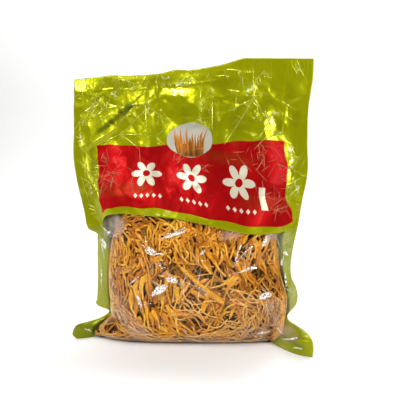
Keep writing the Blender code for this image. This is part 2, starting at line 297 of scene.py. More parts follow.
# Short pleats that the heat seal has pressed into the upper edge, from the left.
dice = random.Random(8)
PLEATS, PLEAT_START, PLEAT_PITCH = 30, -112, 4.6
for k in range(PLEATS):
    x = PLEAT_START + PLEAT_PITCH * k + dice.uniform(-2, 2)
    low = dice.uniform(247, 254)
    SHARED_CREASES.append((x, low, x + dice.gauss(0, 2.2), low + dice.uniform(4, 11), 0.5, 0.6))
SHARED_CREASES += [(x0, z0, x1, z1, 0.5, 0.8) for x0, z0, x1, z1, _ in HARD_FOLDS]

HEM_BELOW, HEM_WIDTH, HEM_DEPTH = 14.0, 0.9, 0.13  # the line where the top's heat seal ends


def both_films(x, z):
    """Depth of the folds that run through both films, where they lie on each other."""
    # They are loose above the contents, and less so in the top's seal and beside the pocket.
    outside = np.clip((pocket(x, z) - 0.97) / 0.1, 0, 1)
    loose = np.clip((z - 112) / 30, 0.0, 1) * np.clip((TOP - 2 - z) / 14, 0.35, 1)
    loose = np.maximum(loose, 0.6 * outside)
    large = crumpled(x, z, seed=3, pitch=27, height=1.8, folds=HARD_FOLDS, stretch=1.2)
    medium = crumpled(x, z, seed=5, pitch=10, height=0.72, stretch=1.3)
    small = crumpled(x, z, seed=4, pitch=5, height=0.27, stretch=1.3)
    patchy = 0.45 + 0.9 * np.clip(crumpled(x, z, seed=6, pitch=34, height=1.0), 0, 1)
    upper_right = np.exp(-(((x - 76) / 30) ** 2) - ((z - 222) / 26) ** 2)
    patchy += 0.7 * upper_right
    hem = np.exp(-(((z - along(TOP_EDGE, x) + HEM_BELOW) / HEM_WIDTH) ** 2))
    return loose * (large + (medium + small) * patchy) - HEM_DEPTH * hem * (0.5 + patchy)


FLAP_ROWS = 16  # from the foot's edge to the seam under the base
TAUT_BULGE = 12.0  # where it bulges this much, a film shows all of its own crumples
FLAT_SHARE = 0.12  # share of them that it keeps where it lies flat on the other film
SEAL_FOOT, SEAL_RIB, RIB_HEIGHT = 249.0, 3.4, 0.05  # the ribs that the sealing bar left


def mark_points(mesh, key, values):
    """Writes one value for each point of a mesh, which its material reads."""
    layer = mesh.attributes.new(key, "FLOAT", "POINT")
    layer.data.foreach_set("value", np.ravel(values))


def film_sheet(name, heights, side, columns, creases, dents=(), base=False):
    """A sheet of film from its foot, or from the base seam, to its upper edge."""
    flaps = np.linspace(1, 0, FLAP_ROWS + 1)[:-1] if base else np.array([])
    rows = len(flaps) + len(heights)
    bpy.ops.mesh.primitive_grid_add(x_subdivisions=columns - 1, y_subdivisions=rows - 1, size=1)
    sheet = bpy.context.object
    sheet.name = sheet.data.name = name
    share, row = np.meshgrid(np.linspace(-1, 1, columns), np.concatenate([flaps * 0, heights]))
    x, z = film_place(share, row)
    y = film_depth(x, z, side)

    # Its own crumples and dents are deep where it stands free, the shared folds everywhere.
    puffed = fullness(pocket(x, z)) * np.clip(along(FRONT_BULGE, z) / TAUT_BULGE, 0, 1)
    own = crumpled(x, z, seed=7 + side, pitch=13, height=0.6, stretch=1.2)
    own += crumpled(x, z, seed=9 + side, pitch=5, height=0.16)
    for dent_x, dent_z, wide, tall, deep in dents:
        near_x, near_z = (x - dent_x) / wide, (z - dent_z) / tall
        own += deep * np.exp(-(near_x**2) - near_z**2 - 0.8 * near_x * near_z)
    sharp, beside = near_creases(x, z, creases)
    shift = both_films(x, z) + own * (FLAT_SHARE + (1 - FLAT_SHARE) * puffed) * np.clip((z - 1) / 12, 0, 1)
    seal = np.clip((z - SEAL_FOOT) / 2, 0, 1) * np.clip((TOP + 6 - z) / 4, 0, 1)
    shift += RIB_HEIGHT * seal * np.sin(2 * math.pi * (x + 0.8 * np.sin(x / 7)) / SEAL_RIB)
    y = y + (shift - CREASE_DEPTH * sharp) * np.clip(z / 8, 0, 1)

    # Under the base it runs on, flat, from the foot's edge to the seam.
    if base:
        ground = z[0] * 0
        full = fullness(pocket(x[0], ground))
        seam = middle(x[0], ground) + SEAM_REACH * np.minimum(1, full * 1.6)
        seam += side * HALF_GAP - 1
        foot = y[len(flaps)]
        for k, step in enumerate(flaps):
            y[k] = np.where(full < 0.03, foot, foot + (seam - foot) * step)
            z[k] = 0
            x[k] = x[len(flaps)]
        z[len(flaps)] = 0
    place = np.stack([x, y, z], axis=2).reshape(-1, 3) * MM
    sheet.data.vertices.foreach_set("co", place.ravel())
    mark_print(sheet, row.ravel(), x.ravel())
    haze = np.clip((pocket(x, z) - 0.9) / 0.08, 0, 1) * np.clip((z - 26) / 14, 0, 1)
    welded = np.clip((pocket(x, z) - 0.98) / 0.05, 0, 1) * np.clip((30 - z) / 10, 0, 1)
    mark_points(sheet.data, "crease", sharp)
    mark_points(sheet.data, "beside_crease", beside)
    mark_points(sheet.data, "haze", haze)
    mark_points(sheet.data, "welded", welded)

    # The solid model's outer face is this sheet's outer face, so its wall grows inwards.
    bpy.ops.object.mode_set(mode="EDIT")
    bpy.ops.mesh.select_all(action="SELECT")
    if side > 0:
        bpy.ops.mesh.flip_normals()
    bpy.ops.mesh.remove_doubles(threshold=0.02 * MM)
    bpy.ops.object.mode_set(mode="OBJECT")
    bpy.ops.object.modifier_add(type="SOLIDIFY")
    wall = sheet.modifiers[-1]
    wall.thickness, wall.offset = FILM * MM, -1
    bpy.ops.object.modifier_apply(modifier=wall.name)
    bpy.ops.object.shade_smooth()
    bpy.ops.object.select_all(action="DESELECT")
    sheet.data.materials.clear()
    return sheet


# How far the creases pull the red panel's upper edge out of line, from left to right.
PANEL_LIFT = [(-110, 2), (-93, 2), (-64, 0), (-39, -3), (-24, -2), (0, 0), (21, 0.5), (46, 2.5),
              (86, 4.6), (110, 5)]
PANEL_FOOT, PANEL_HEAD = 121.0, 189.0
PANEL_DRIFT = 7.7  # of the panel's foot to the right of its head


def mark_print(sheet, row, x):
    """Writes the print's own flat coordinates, in units of 100 mm, into a UV map."""
    drift = PANEL_DRIFT * np.clip((PANEL_HEAD - row) / (PANEL_HEAD - PANEL_FOOT), 0, 1)
    flat = np.stack([(x - drift) / 100, row / 100], axis=1)

    # The creases make the print's edges wavy, and pull in its right side near the middle.
    flat[:, 0] += 0.006 * np.sin(row / 7.3) + 0.004 * np.sin(row / 3.1 + x / 17)
    right_notch = np.exp(-(((row - 147) / 12) ** 2)) * np.clip((x - 72) / 16, 0, 1)
    flat[:, 0] += 0.035 * right_notch
    flat[:, 1] -= along(PANEL_LIFT, x) / 100 * np.clip((row - 158) / 24, 0, 1)
    flat[:, 1] += 0.007 * np.sin(x / 11.7 + 0.6) + 0.005 * np.sin(x / 5.3 + row / 13)
    corners = np.empty(len(sheet.data.loops), np.int32)
    sheet.data.loops.foreach_get("vertex_index", corners)
    layer = sheet.data.uv_layers.active or sheet.data.uv_layers.new()
    layer.name = "print"
    layer.data.foreach_set("uv", flat[corners].ravel())


def mark_patches(sheet, key, patches):
    """Writes how far each point lies inside soft oval patches of the film."""
    place = np.empty(len(sheet.data.vertices) * 3)
    sheet.data.vertices.foreach_get("co", place)
    x, _, z = place.reshape(-1, 3).T / MM
    found = np.zeros(len(x))
    for patch_x, patch_z, wide, tall, turn, strength in patches:
        turn = math.radians(turn)
        run = (x - patch_x) * math.cos(turn) + (z - patch_z) * math.sin(turn)
        off = (z - patch_z) * math.cos(turn) - (x - patch_x) * math.sin(turn)
        inside = np.exp(-(((run / wide) ** 2 + (off / tall) ** 2) ** 2))
        found = np.maximum(found, strength * inside)
    mark_points(sheet.data, key, found)


def feed(node, links):
    """Gives a node's sockets a value each, or what another node puts out."""
    for socket, value in links.items():
        if isinstance(value, bpy.types.Node):
            value = next(output for output in value.outputs if output.enabled)
        if isinstance(value, bpy.types.NodeSocket):
            node.id_data.links.new(value, node.inputs[socket])
        else:
            node.inputs[socket].default_value = value


def add(tree, kind, links=None, stops=(), **settings):
    """Adds a shader node with its settings, a colour ramp's stops, and what its sockets are fed."""
    made = tree.nodes.new(f"ShaderNode{kind}")
    for key, value in settings.items():
        setattr(made, key, value)
    for k, (place, shade) in enumerate(stops):
        ramp = made.color_ramp.elements
        stop = ramp[k] if k < 2 else ramp.new(place)
        stop.position, stop.color = place, colour(shade)
    feed(made, links or {})
    return made


def colour(text):
    """An sRGB hex colour as linear values."""
    parts = [int(text[k:k + 2], 16) / 255 for k in (1, 3, 5)]
    return (*[p / 12.92 if p <= 0.04045 else ((p + 0.055) / 1.055) ** 2.4 for p in parts], 1)


def material(name):
    """A new material with its tree and its Principled shader."""
    made = bpy.data.materials.new(name)
    made.use_nodes = True
    return made, made.node_tree, made.node_tree.nodes["Principled BSDF"]


def sharp_creases(tree):
    """The hairline creases of the film: 1 along each line, and 0 half a millimetre beside it."""
    near = add(tree, "Attribute", attribute_name="crease").outputs["Fac"]
    beside = add(tree, "Attribute", attribute_name="beside_crease").outputs["Fac"]
    gap = add(tree, "Math", {0: beside}, operation="ABSOLUTE")
    line = add(tree, "MapRange", {"Value": gap, "From Min": 1.0, "From Max": 0.0})
    return add(tree, "Math", {0: line, 1: near}, operation="MULTIPLY")


def film_ripple(tree, creases):
    """Normal of thin film: hairline creases over a fine crinkle, whose facets are 4 to 5 mm wide."""
    place = add(tree, "TexCoord").outputs["Object"]
    wide = add(tree, "TexNoise", {"Vector": place, "Scale": 190.0, "Detail": 2.0})
    fine = add(tree, "TexVoronoi", {"Vector": place, "Scale": 260.0}, feature="DISTANCE_TO_EDGE")
    both = add(tree, "Math", {0: fine, 1: 0.35, 2: wide}, operation="MULTIPLY_ADD")
    crinkle = add(tree, "Bump", {"Height": both, "Strength": 0.06, "Distance": 0.9 * MM})
    return add(tree, "Bump", {
        "Height": creases, "Strength": 1.0, "Distance": 0.22 * MM, "Normal": crinkle,
    })


# Green laminate: film reverse printed with yellow-green ink over a pearl base, so the colour is
# deep and even, with a soft metallic sheen under a clear glossy face. The ink is cloudy over
# 45 mm or so, and painted shade turns it dark olive where a deep fold or an ear lies in shadow.
GREEN_INK = ((0.3, "#959900"), (0.7, "#a2a503"))

green_laminate, tree, shader = material("green printed laminate")
place = add(tree, "TexCoord").outputs["Object"]
cloud = add(tree, "TexNoise", {"Vector": place, "Scale": 22.0, "Detail": 2.0})
ink = add(tree, "ValToRGB", {0: cloud}, GREEN_INK)
# Painted shade: where marked, the ink is mixed towards dark olive.
painted_shade = add(tree, "Attribute", attribute_name="painted_shade").outputs["Fac"]
ink = add(tree, "Mix", {0: painted_shade, 6: ink, 7: colour("#3c5000")}, data_type="RGBA")
ripple = film_ripple(tree, sharp_creases(tree))
feed(shader, {
    "Base Color": ink, "Metallic": 0.45, "Roughness": 0.26, "Specular IOR Level": 0.15,
    "Coat Weight": 0.16, "Coat Roughness": 0.05, "Normal": ripple, "Coat Normal": ripple,
})

back = film_sheet("back_sheet", np.linspace(0, TOP, 196), 1, 225, SHARED_CREASES, base=True)
# Painted shade on the back film: dark olive patches in the ears and in a fold at the right foot.
mark_patches(back, "painted_shade", [  # in the ears: place, half width and height, turn and strength
    (-98, 8, 18, 16, 0, 0.5), (108, 8, 10, 14, 0, 0.2), (101, 10, 12, 1.6, -14, 0.7),
    (107, 16, 8, 1.4, 60, 0.5),
])
back.data.materials.append(green_laminate)
back.data.transform(to_origin)
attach(back, "root")
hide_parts("back_film")

# ---- Packed mass ------------------------------------------------------------------------------
# The strands deep in the bag, pressed together into one fibrous mass, coloured dark as painted
# shade. Only its hollows show, between the strands that lie against the window.

# Packed dry fibre: matt, with the brown streaks of stalks some 2 mm apart, and painted dark for
# the shade deep in the bag.
core_fibre, tree, shader = material("packed dry fibre")
place = add(tree, "TexCoord").outputs["Object"]
fibre = add(tree, "TexNoise", {"Vector": place, "Scale": 420.0, "Detail": 4.0, "Distortion": 1.5})
tint = add(tree, "ValToRGB", {0: fibre}, [(0.35, "#3c1e08"), (0.7, "#8a5420")])
bump = add(tree, "Bump", {"Height": fibre, "Strength": 0.8, "Distance": 1.0 * MM})
feed(shader, {"Base Color": tint, "Roughness": 0.85, "Normal": bump})

# The sides of the contents by height. They leave the pocket's upper corners almost empty.
STRAND_LEFT = [(0, -89), (8, -90), (14, -84), (22, -77), (40, -77.5), (60, -79), (84, -77.5),
               (98, -72), (108, -66), (120, -59), (140, -54)]
STRAND_RIGHT = [(0, 82), (10, 89), (20, 94), (34, 97), (46, 97), (60, 93), (75, 90), (98, 87),
                (120, 83), (140, 80)]
SEAL_INSET, STRAND_INSET = 5.0, 3.0  # of the mass from the side seals and from the strands' sides
FRONT_INSET, BACK_INSET = 9.5, 1.6  # of the mass from the window and from the back film
THINNEST = 1.5
MASS_FOOT, MASS_HEIGHT = 1.2, 145.0
LUMP, LUMP_HEIGHT = 9.0, 4.0


def mass_sides(z):
    """Where the mass ends at the left and the right."""
    left = np.maximum(along(LEFT_POCKET, z) + SEAL_INSET, along(STRAND_LEFT, z) + STRAND_INSET)
    right = np.minimum(along(RIGHT_POCKET, z) - SEAL_INSET, along(STRAND_RIGHT, z) - STRAND_INSET)
    return left, right


def mass_depth(x, z, side):
    """Depth of the mass's front (side -1) or back (side 1)."""
    left, right = mass_sides(z)
    across = np.abs(2 * x - left - right) / (right - left)
    reach = bulge(x, z, side) - (FRONT_INSET if side < 0 else BACK_INSET)
    return middle(x, z) + side * np.maximum(reach, THINNEST) * fullness(across) ** 0.8


bpy.ops.mesh.primitive_uv_sphere_add(segments=160, ring_count=110, radius=1)
core = bpy.context.object
core.name = core.data.name = "packed_mass"
ball = np.empty(len(core.data.vertices) * 3)
core.data.vertices.foreach_get("co", ball)
ball = ball.reshape(-1, 3)
turn = np.arctan2(ball[:, 1], ball[:, 0])
lift = np.arcsin(np.clip(ball[:, 2], -1, 1))
z = MASS_FOOT + MASS_HEIGHT * (0.5 + 0.5 * np.sign(ball[:, 2]) * np.abs(ball[:, 2]) ** 0.75)
left, right = mass_sides(z)
ring = np.clip(np.cos(lift), 0, 1) ** 0.3
reach = np.sign(np.cos(turn)) * np.abs(np.cos(turn)) ** 0.75 * ring
x = (left + right) / 2 + reach * (right - left) / 2
y = np.where(ball[:, 1] < 0, mass_depth(x, z, -1), mass_depth(x, z, 1))
y = SET_BACK + (y - SET_BACK) * ring
core.data.vertices.foreach_set("co", (np.stack([x, y, z], axis=1) * MM).ravel())
lumps = bpy.data.textures.new("packed lumps", "CLOUDS")
lumps.noise_scale, lumps.noise_depth = LUMP * MM, 3
bpy.ops.object.modifier_add(type="DISPLACE")
swell = core.modifiers[-1]
swell.texture, swell.strength, swell.mid_level = lumps, LUMP_HEIGHT * MM, 0.9
bpy.ops.object.modifier_apply(modifier=swell.name)
bpy.ops.object.shade_smooth()
bpy.ops.object.select_all(action="DESELECT")
core.data.materials.append(core_fibre)
core.data.transform(to_origin)
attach(core, "root")

# ---- Dried strands ----------------------------------------------------------------------------
# Dried cordyceps: slim tan stalks, many of them ending in a swollen orange head, all of them
# bent and flattened where they dried. They lie in small bundles against the window.

STRAND_KINDS = {  # length, radius of the stalk, radius of the head, space between, curl in degrees
    "club": ((16, 28), (0.7, 1.0), (2.0, 2.7), 3.4, 12),
    "giant": ((50, 52), (1.7, 1.8), (3.0, 3.1), 5.0, 3),
    "stalk": ((20, 38), (0.5, 0.85), (0.55, 1.0), 1.6, 22),
    "curl": ((12, 24), (0.6, 0.95), (0.75, 1.35), 1.75, 44),
    "fine": ((20, 44), (0.42, 0.64), (0.45, 0.66), 1.3, 24),
}
POINTS = 15  # along a strand
SWELL_FROM, SWELL_OVER = 0.38, 0.4  # where the head begins, in shares of the length
TIP_FROM, TIP_OVER = 0.84, 0.17
FINEST = 0.15  # radius that no strand goes below
TURNED = 0.15  # share of the strands that lie the other way round
STRAND_TOP, STRAND_FOOT = 138.0, 0.8
FILM_CLEARANCE = 0.5  # between the film and the strands that lie on it
CROWDED = 0.9  # how far out to the sides the strands lie free, as a share of the half width

# The corners that lie in shadow, whose strands get painted shade: place, half width, half height,
# and how dark, as if that much deeper in the bag.
DIM_CORNERS = [(-84, 9, 13, 10, 9.0), (-60, 112, 9, 9, 3.0), (84, 100, 8, 10, 2.6)]


def lie_behind_window(x, z, wide, depth):
    """Places of a strand's points at a depth behind the window's inner face, and that depth."""
    # What would stick out at the sides is drawn in, and lies close to the film there.
    z = np.clip(z, STRAND_FOOT + 0.1 + wide, STRAND_TOP)
    left, right = along(STRAND_LEFT, z), along(STRAND_RIGHT, z)
    room = (right - left) / 2
    over = (x - (right + left) / 2) / room
    spare = 1 - CROWDED
    eased = np.sign(over) * (CROWDED + spare * np.tanh((np.abs(over) - CROWDED) / spare))
    x = (right + left) / 2 + room * np.where(np.abs(over) > CROWDED, eased, over)
    depth = depth * (1 - 0.8 * np.clip((np.abs(over) - 0.88) / 0.1, 0, 1)) + wide

    # The depth is measured square to the window's face.
    face = film_depth(x, z, -1) + WALL + FILM_CLEARANCE
    slope_x = (film_depth(x + 1, z, -1) - film_depth(x - 1, z, -1)) / 2
    slope_z = (film_depth(x, z + 1, -1) - film_depth(x, z - 1, -1)) / 2
    inward = np.stack([-slope_x, np.ones_like(x), -slope_z], axis=1)
    inward /= np.linalg.norm(inward, axis=1)[:, None]
    place = np.stack([x, face, z], axis=1) + inward * depth[:, None]
    place[:, 2] = np.maximum(place[:, 2], STRAND_FOOT + wide)
    return place, depth, x, z


def strand_paths(bundles, seed):
    """Path, radii, tone, share and shade of strands that lie side by side in bundles."""
    dice = np.random.default_rng(seed)
    found = []
    t = np.linspace(0, 1, POINTS)
    for x0, z0, heading, bend, kind, count, loose, deep in bundles:
        for k in range(count):
            mine = kind if kind != "mixed" else dice.choice(["club", "curl", "stalk"])
            lengths, stalks, heads, space, curl = STRAND_KINDS[mine]
            length, stalk, head = dice.uniform(*lengths), dice.uniform(*stalks), dice.uniform(*heads)

            # Its line, bent over its whole length and waved, and sometimes lying the other way.
            start = math.radians(heading + dice.normal(0, 4 + 3 * loose))
            curve = math.radians(bend + dice.normal(0, curl + 5 * loose)) * length / 30
            wave = math.radians(dice.normal(0, curl + 8 * loose))
            wave = wave * np.sin(2 * math.pi * t * dice.uniform(0.8, 1.4) + dice.uniform(0, 6))
            turned = dice.random() < TURNED
            way = start + curve * (t - 0.5) + wave + (math.pi if turned else 0)
            step = length / (POINTS - 1)
            x, z = np.cumsum(np.cos(way)) * step, np.cumsum(np.sin(way)) * step
            beside = (k - (count - 1) / 2) * space + dice.normal(0, 0.3 + 0.8 * loose)
            slid = dice.normal(0, 4 + 2 * loose)
            turn = math.radians(heading)
            x += x0 - math.sin(turn) * beside + math.cos(turn) * slid - x[POINTS // 2]
            z += z0 + math.cos(turn) * beside + math.sin(turn) * slid - z[POINTS // 2]

            # Its thickness: a slim stalk that swells into the head, and a blunt tip.
            swell = 0.5 - 0.5 * np.cos(math.pi * np.clip((t - SWELL_FROM) / SWELL_OVER, 0, 1))
            tip = np.clip((t - TIP_FROM) / TIP_OVER, 0, 1)
            tip = np.sqrt(np.clip(1 - tip**2, 0.05, 1))
            wide = (stalk + (head - stalk) * swell) * tip
            wide = np.maximum(wide * (1 + 0.06 * dice.normal(size=POINTS)), FINEST)

            # Its depth, which rises and sinks along it, and how much painted shade it gets there.
            rise = dice.uniform(0.2, 1.3)
            rise = rise * np.sin(2 * math.pi * t * dice.uniform(0.5, 1.2) + dice.uniform(0, 6))
            sunk = np.maximum(deep + dice.uniform(0, 1.6) + rise, 0.1)
            place, depth, x, z = lie_behind_window(x, z, wide, sunk)
            dim = np.zeros(POINTS)
            for at_x, at_z, half_x, half_z, dark in DIM_CORNERS:
                dim += dark * np.exp(-(((x - at_x) / half_x) ** 2) - ((z - at_z) / half_z) ** 2)
            dim *= np.clip(sunk / 1.8, 0.12, 1)

            # How much of a head each point is: 1 in a swollen tip, below 0 on a fine thread.
            share = {"club": t, "giant": 0.3 + t, "stalk": 0.25 * t, "curl": 0.35 + 0.2 * t}
            share = share.get(mine, np.full(POINTS, -0.5))
            found.append((place, wide, np.full(POINTS, dice.random()), share, depth + dim))
    return [np.array(values) for values in zip(*found)]


FLATTENED = (1.12, 0.85)  # a strand's width and thickness where it dried, for a radius of 1
FOOT_CAP, TIP_CAP = 0.4, 0.8  # how far its ends stand out, for the same


def tubes(name, paths, radii, tones, shares, depths, sides, finish):
    """Joins all strands into one mesh of closed, slightly flattened tubes."""
    count, points = radii.shape
    run = np.gradient(paths, axis=1)
    run /= np.linalg.norm(run, axis=2)[..., None]
    across = np.cross(run, np.array([0.0, 1.0, 0.0]))
    across /= np.linalg.norm(across, axis=2)[..., None] + 1e-9
    up = np.cross(run, across)
    turn = np.arange(sides) * 2 * math.pi / sides

    # A ring of points round each place of the path, and one point past either end.
    ring = (across[:, :, None] * np.cos(turn)[None, None, :, None] * FLATTENED[0]
            + up[:, :, None] * np.sin(turn)[None, None, :, None] * FLATTENED[1])
    body = paths[:, :, None] + ring * radii[:, :, None, None]
    ends = np.stack([paths[:, 0] - run[:, 0] * radii[:, :1] * FOOT_CAP,
                     paths[:, -1] + run[:, -1] * radii[:, -1:] * TIP_CAP], axis=1)
    size = points * sides + 2
    places = np.concatenate([body.reshape(count, -1, 3), ends], axis=1)

    # Four-cornered faces along the tube, and a fan of triangles that closes either end.
    k, j = np.meshgrid(np.arange(points - 1), np.arange(sides), indexing="ij")
    a, b = k * sides + j, k * sides + (j + 1) % sides
    quads = np.stack([a, a + sides, b + sides, b], axis=2).reshape(-1, 4)
    j = np.arange(sides)
    nexts = (j + 1) % sides
    low = np.stack([np.full(sides, size - 2), j, nexts], axis=1)
    last = (points - 1) * sides
    high = np.stack([np.full(sides, size - 1), last + nexts, last + j], axis=1)
    offset = (np.arange(count) * size)[:, None, None]
    quads = (quads[None] + offset).reshape(-1, 4)
    fans = (np.concatenate([low, high])[None] + offset).reshape(-1, 3)
    mesh = bpy.data.meshes.new(name)
    mesh.vertices.add(count * size)
    mesh.vertices.foreach_set("co", (places.reshape(-1, 3) * MM).ravel())
    mesh.loops.add(len(quads) * 4 + len(fans) * 3)
    mesh.loops.foreach_set("vertex_index", np.concatenate([quads.ravel(), fans.ravel()]))
    mesh.polygons.add(len(quads) + len(fans))
    starts = np.concatenate([np.arange(len(quads)) * 4, len(quads) * 4 + np.arange(len(fans)) * 3])
    mesh.polygons.foreach_set("loop_start", starts)
    mesh.update(calc_edges=True)
    mesh.validate()
    mesh.shade_smooth()
    for key, values in (("tone", tones), ("share", shares), ("shade_depth", depths)):
        spread = np.repeat(values[:, :, None], sides, axis=2).reshape(count, -1)
        mark_points(mesh, key, np.concatenate([spread, values[:, :1], values[:, -1:]], axis=1))
    made = bpy.data.objects.new(name, mesh)
    bpy.context.scene.collection.objects.link(made)
    mesh.materials.append(finish)
    return made


# Dried fungus: satin, golden tan on the stalks, orange on the heads and paler on the threads,
# with fine wrinkles where it shrank.
dried_fungus, tree, shader = material("dried cordyceps flesh")
tone = add(tree, "Attribute", attribute_name="tone").outputs["Fac"]
share = add(tree, "Attribute", attribute_name="share").outputs["Fac"]
stalk = add(tree, "ValToRGB", {0: tone}, [
    (0.0, "#8c4e12"), (0.3, "#c07a20"), (0.7, "#e49a24"), (1.0, "#f9c858"),
])
head = add(tree, "ValToRGB", {0: tone}, [(0.0, "#c46c10"), (0.45, "#e6951c"), (1.0, "#f7b836")])
thread = add(tree, "ValToRGB", {0: tone}, [(0.0, "#c8812c"), (1.0, "#fbc46c")])
swollen = add(tree, "MapRange", {"Value": share, "From Min": 0.35, "From Max": 0.65})
skin = add(tree, "Mix", {0: swollen, 6: stalk, 7: head}, data_type="RGBA")
slender = add(tree, "MapRange", {"Value": share, "From Min": 0.0, "From Max": -0.4})
skin = add(tree, "Mix", {0: slender, 6: skin, 7: thread}, data_type="RGBA")

# Blotches 2 mm across, and painted shade between the strands, which is deeper the further in
# they lie and in the dim corners.
place = add(tree, "TexCoord").outputs["Object"]
blotch = add(tree, "TexNoise", {"Vector": place, "Scale": 480.0, "Detail": 3.0})
blotch = add(tree, "MapRange", {
    "Value": blotch, "From Min": 0.3, "From Max": 0.7, "To Min": 0.76, "To Max": 1.14,
})
shade_depth = add(tree, "Attribute", attribute_name="shade_depth").outputs["Fac"]
painted_depth_shade = add(tree, "MapRange", {
    "Value": shade_depth, "From Min": 2.2, "From Max": 6.6, "To Min": 1.0, "To Max": 0.16,
})
for shade in (blotch, painted_depth_shade):
    skin = add(tree, "Mix", {0: 1.0, 6: skin, 7: shade}, data_type="RGBA", blend_type="MULTIPLY")
wrinkle = add(tree, "TexNoise", {"Vector": place, "Scale": 1300.0, "Detail": 2.0})
bump = add(tree, "Bump", {"Height": wrinkle, "Strength": 0.5, "Distance": 0.4 * MM})
feed(shader, {
    "Base Color": skin, "Roughness": 0.36, "Specular IOR Level": 0.16, "Normal": bump,
})

# Bundles placed where the photo shows them: place, heading in degrees, bend, kind of
# strand, how many, how loose, and how deep under the window they start.
PLACED_BUNDLES = [
    (-66, 88, 100, -70, "curl", 12, 0.6, 0.3), (-68, 64, 92, 30, "mixed", 8, 0.6, 0.2),
    (-54, 104, 30, -80, "curl", 12, 0.7, 0.3), (-38, 92, 120, 60, "stalk", 12, 0.6, 0.2),
    (-56, 76, 60, 100, "stalk", 13, 0.6, 0), (-26, 98, 80, 20, "curl", 9, 0.6, 0),
    (-20, 80, 95, 10, "curl", 11, 0.5, 0), (0, 92, 110, -40, "mixed", 10, 0.7, 0),
    (-42, 52, 92, 0, "club", 6, 0.3, 0), (-26, 46, 86, 0, "club", 6, 0.3, 0),
    (-8, 52, 84, 10, "club", 6, 0.4, 0), (-30, 26, 102, 15, "club", 6, 0.3, 0),
    (-14, 22, 116, 20, "club", 6, 0.4, 0), (2, 14, 142, 10, "mixed", 9, 0.4, 0),
    (6, 64, 142, 10, "stalk", 9, 0.4, 1.2), (13, 61, -35, 4, "giant", 1, 0, -6),
    (26, 48, -38, 10, "club", 4, 0.3, 0.4), (-60, 44, 70, 40, "mixed", 8, 0.8, 0.8),
    (-60, 22, 150, 30, "fine", 14, 0.6, 0.4), (-44, 16, 145, 20, "fine", 13, 0.5, 0.2),
    (-34, 6, 160, 0, "fine", 8, 0.6, 0.2), (-2, 104, 70, 60, "curl", 12, 0.8, 0),
    (18, 100, 60, 40, "curl", 11, 0.7, 0), (36, 90, 100, 50, "mixed", 10, 0.7, 0),
    (28, 76, 120, -30, "club", 6, 0.6, 0), (48, 78, -50, 20, "club", 6, 0.6, 0),
    (44, 60, 20, 30, "club", 5, 0.7, 0), (62, 66, 110, 30, "mixed", 9, 0.7, 0),
    (76, 84, 85, -20, "curl", 12, 0.5, 0), (66, 98, 60, 40, "mixed", 9, 0.8, 0.5),
    (34, 34, 60, 20, "mixed", 10, 0.8, 0.3), (52, 44, 20, 60, "curl", 12, 0.8, 0.2),
    (66, 44, 150, 80, "fine", 14, 0.8, 0), (82, 42, 110, 60, "fine", 14, 0.8, 0),
    (76, 24, 70, 70, "fine", 14, 0.8, 0), (56, 18, 30, 60, "fine", 14, 0.8, 0),
    (36, 10, 8, 30, "fine", 12, 0.7, 0.2), (62, 30, 120, 80, "fine", 13, 0.9, 0),
    (12, 34, 150, 5, "fine", 9, 0.7, 0.6), (-46, 34, 100, 20, "club", 5, 0.4, 0),
    (-70, 112, 70, 20, "stalk", 10, 0.8, 1.5), (44, 106, 100, 20, "mixed", 10, 0.8, 1.2),
    (-77, 100, 95, 0, "stalk", 10, 0.9, 0), (-78, 78, 88, 10, "mixed", 9, 0.9, 0),
    (-78, 52, 92, -10, "stalk", 10, 0.9, 0), (-77, 30, 85, 20, "mixed", 9, 0.9, 0),
    (90, 100, 85, 0, "stalk", 10, 0.9, 0), (91, 78, 95, 20, "mixed", 9, 0.9, 0),
    (95, 54, 100, 30, "stalk", 10, 0.9, 0), (97, 36, 80, 60, "fine", 12, 0.9, 0),
    (92, 18, 60, 60, "fine", 12, 0.9, 0), (88, 10, 20, 60, "fine", 9, 0.8, 0.3),
    (14, 6, 0, 10, "fine", 8, 0.5, 0.2), (-8, 6, 172, 10, "stalk", 8, 0.6, 0.3),
    (60, 4, 4, 20, "fine", 8, 0.6, 0.2), (-80, 12, 60, 40, "stalk", 8, 1.0, 3.4),
    (-84, 8, 150, 30, "mixed", 6, 0.9, 2.6), (-72, 8, 20, 50, "curl", 9, 0.9, 2.6),
    (-44, 114, 20, 40, "curl", 11, 0.9, 0.6), (-22, 110, 150, 40, "mixed", 10, 0.9, 0.4),
    (-2, 112, 30, -40, "curl", 11, 0.9, 0.4), (16, 108, 100, 40, "mixed", 10, 0.9, 0.4),
    (34, 106, 40, 50, "curl", 11, 0.9, 0.4), (54, 104, 80, 40, "mixed", 10, 0.9, 0.6),
    (-12, 94, 70, 30, "curl", 11, 0.8, 0.2), (8, 96, 110, 30, "club", 6, 0.7, 0.2),
    (-60, 3, 4, 0, "fine", 6, 0.5, 0), (-24, 2.5, 0, 0, "fine", 5, 0.4, 0),
    (34, 2.5, 0, 0, "fine", 5, 0.4, 0),
    (-82, 12, 60, 30, "fine", 3, 1.4, -1.2), (-84, 9, 130, 20, "fine", 3, 1.4, -1.2),
    (-76, 7, 15, 30, "stalk", 3, 1.2, -1.0), (-44, 70, 40, 60, "curl", 9, 0.8, -0.2),
]
dice = random.Random(5)
STRAND_SEED = 21


def loose_bundles(count, deep):
    """Bundles thrown anywhere behind the window, at one depth."""
    return [
        (dice.uniform(-80, 92), dice.uniform(4, 130), dice.uniform(0, 360), dice.gauss(0, 50),
         dice.choice(["mixed", "mixed", "club", "curl", "fine"]), dice.randint(4, 8), 1.0,
         deep + dice.uniform(0, 1.2))
        for _ in range(count)
    ]


LAYERS = {  # the bundles of each layer and the sides of their strands
    "front_strands": (PLACED_BUNDLES, 6),
    "middle_strands": (loose_bundles(90, 2.4), 5),
    "deeper_strands": (loose_bundles(100, 5.0), 5),
}
for name, (bundles, sides) in LAYERS.items():
    strands = tubes(name, *strand_paths(bundles, STRAND_SEED), sides, dried_fungus)
    strands.data.transform(to_origin)
    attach(strands, "root")
    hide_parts("strand_mass")
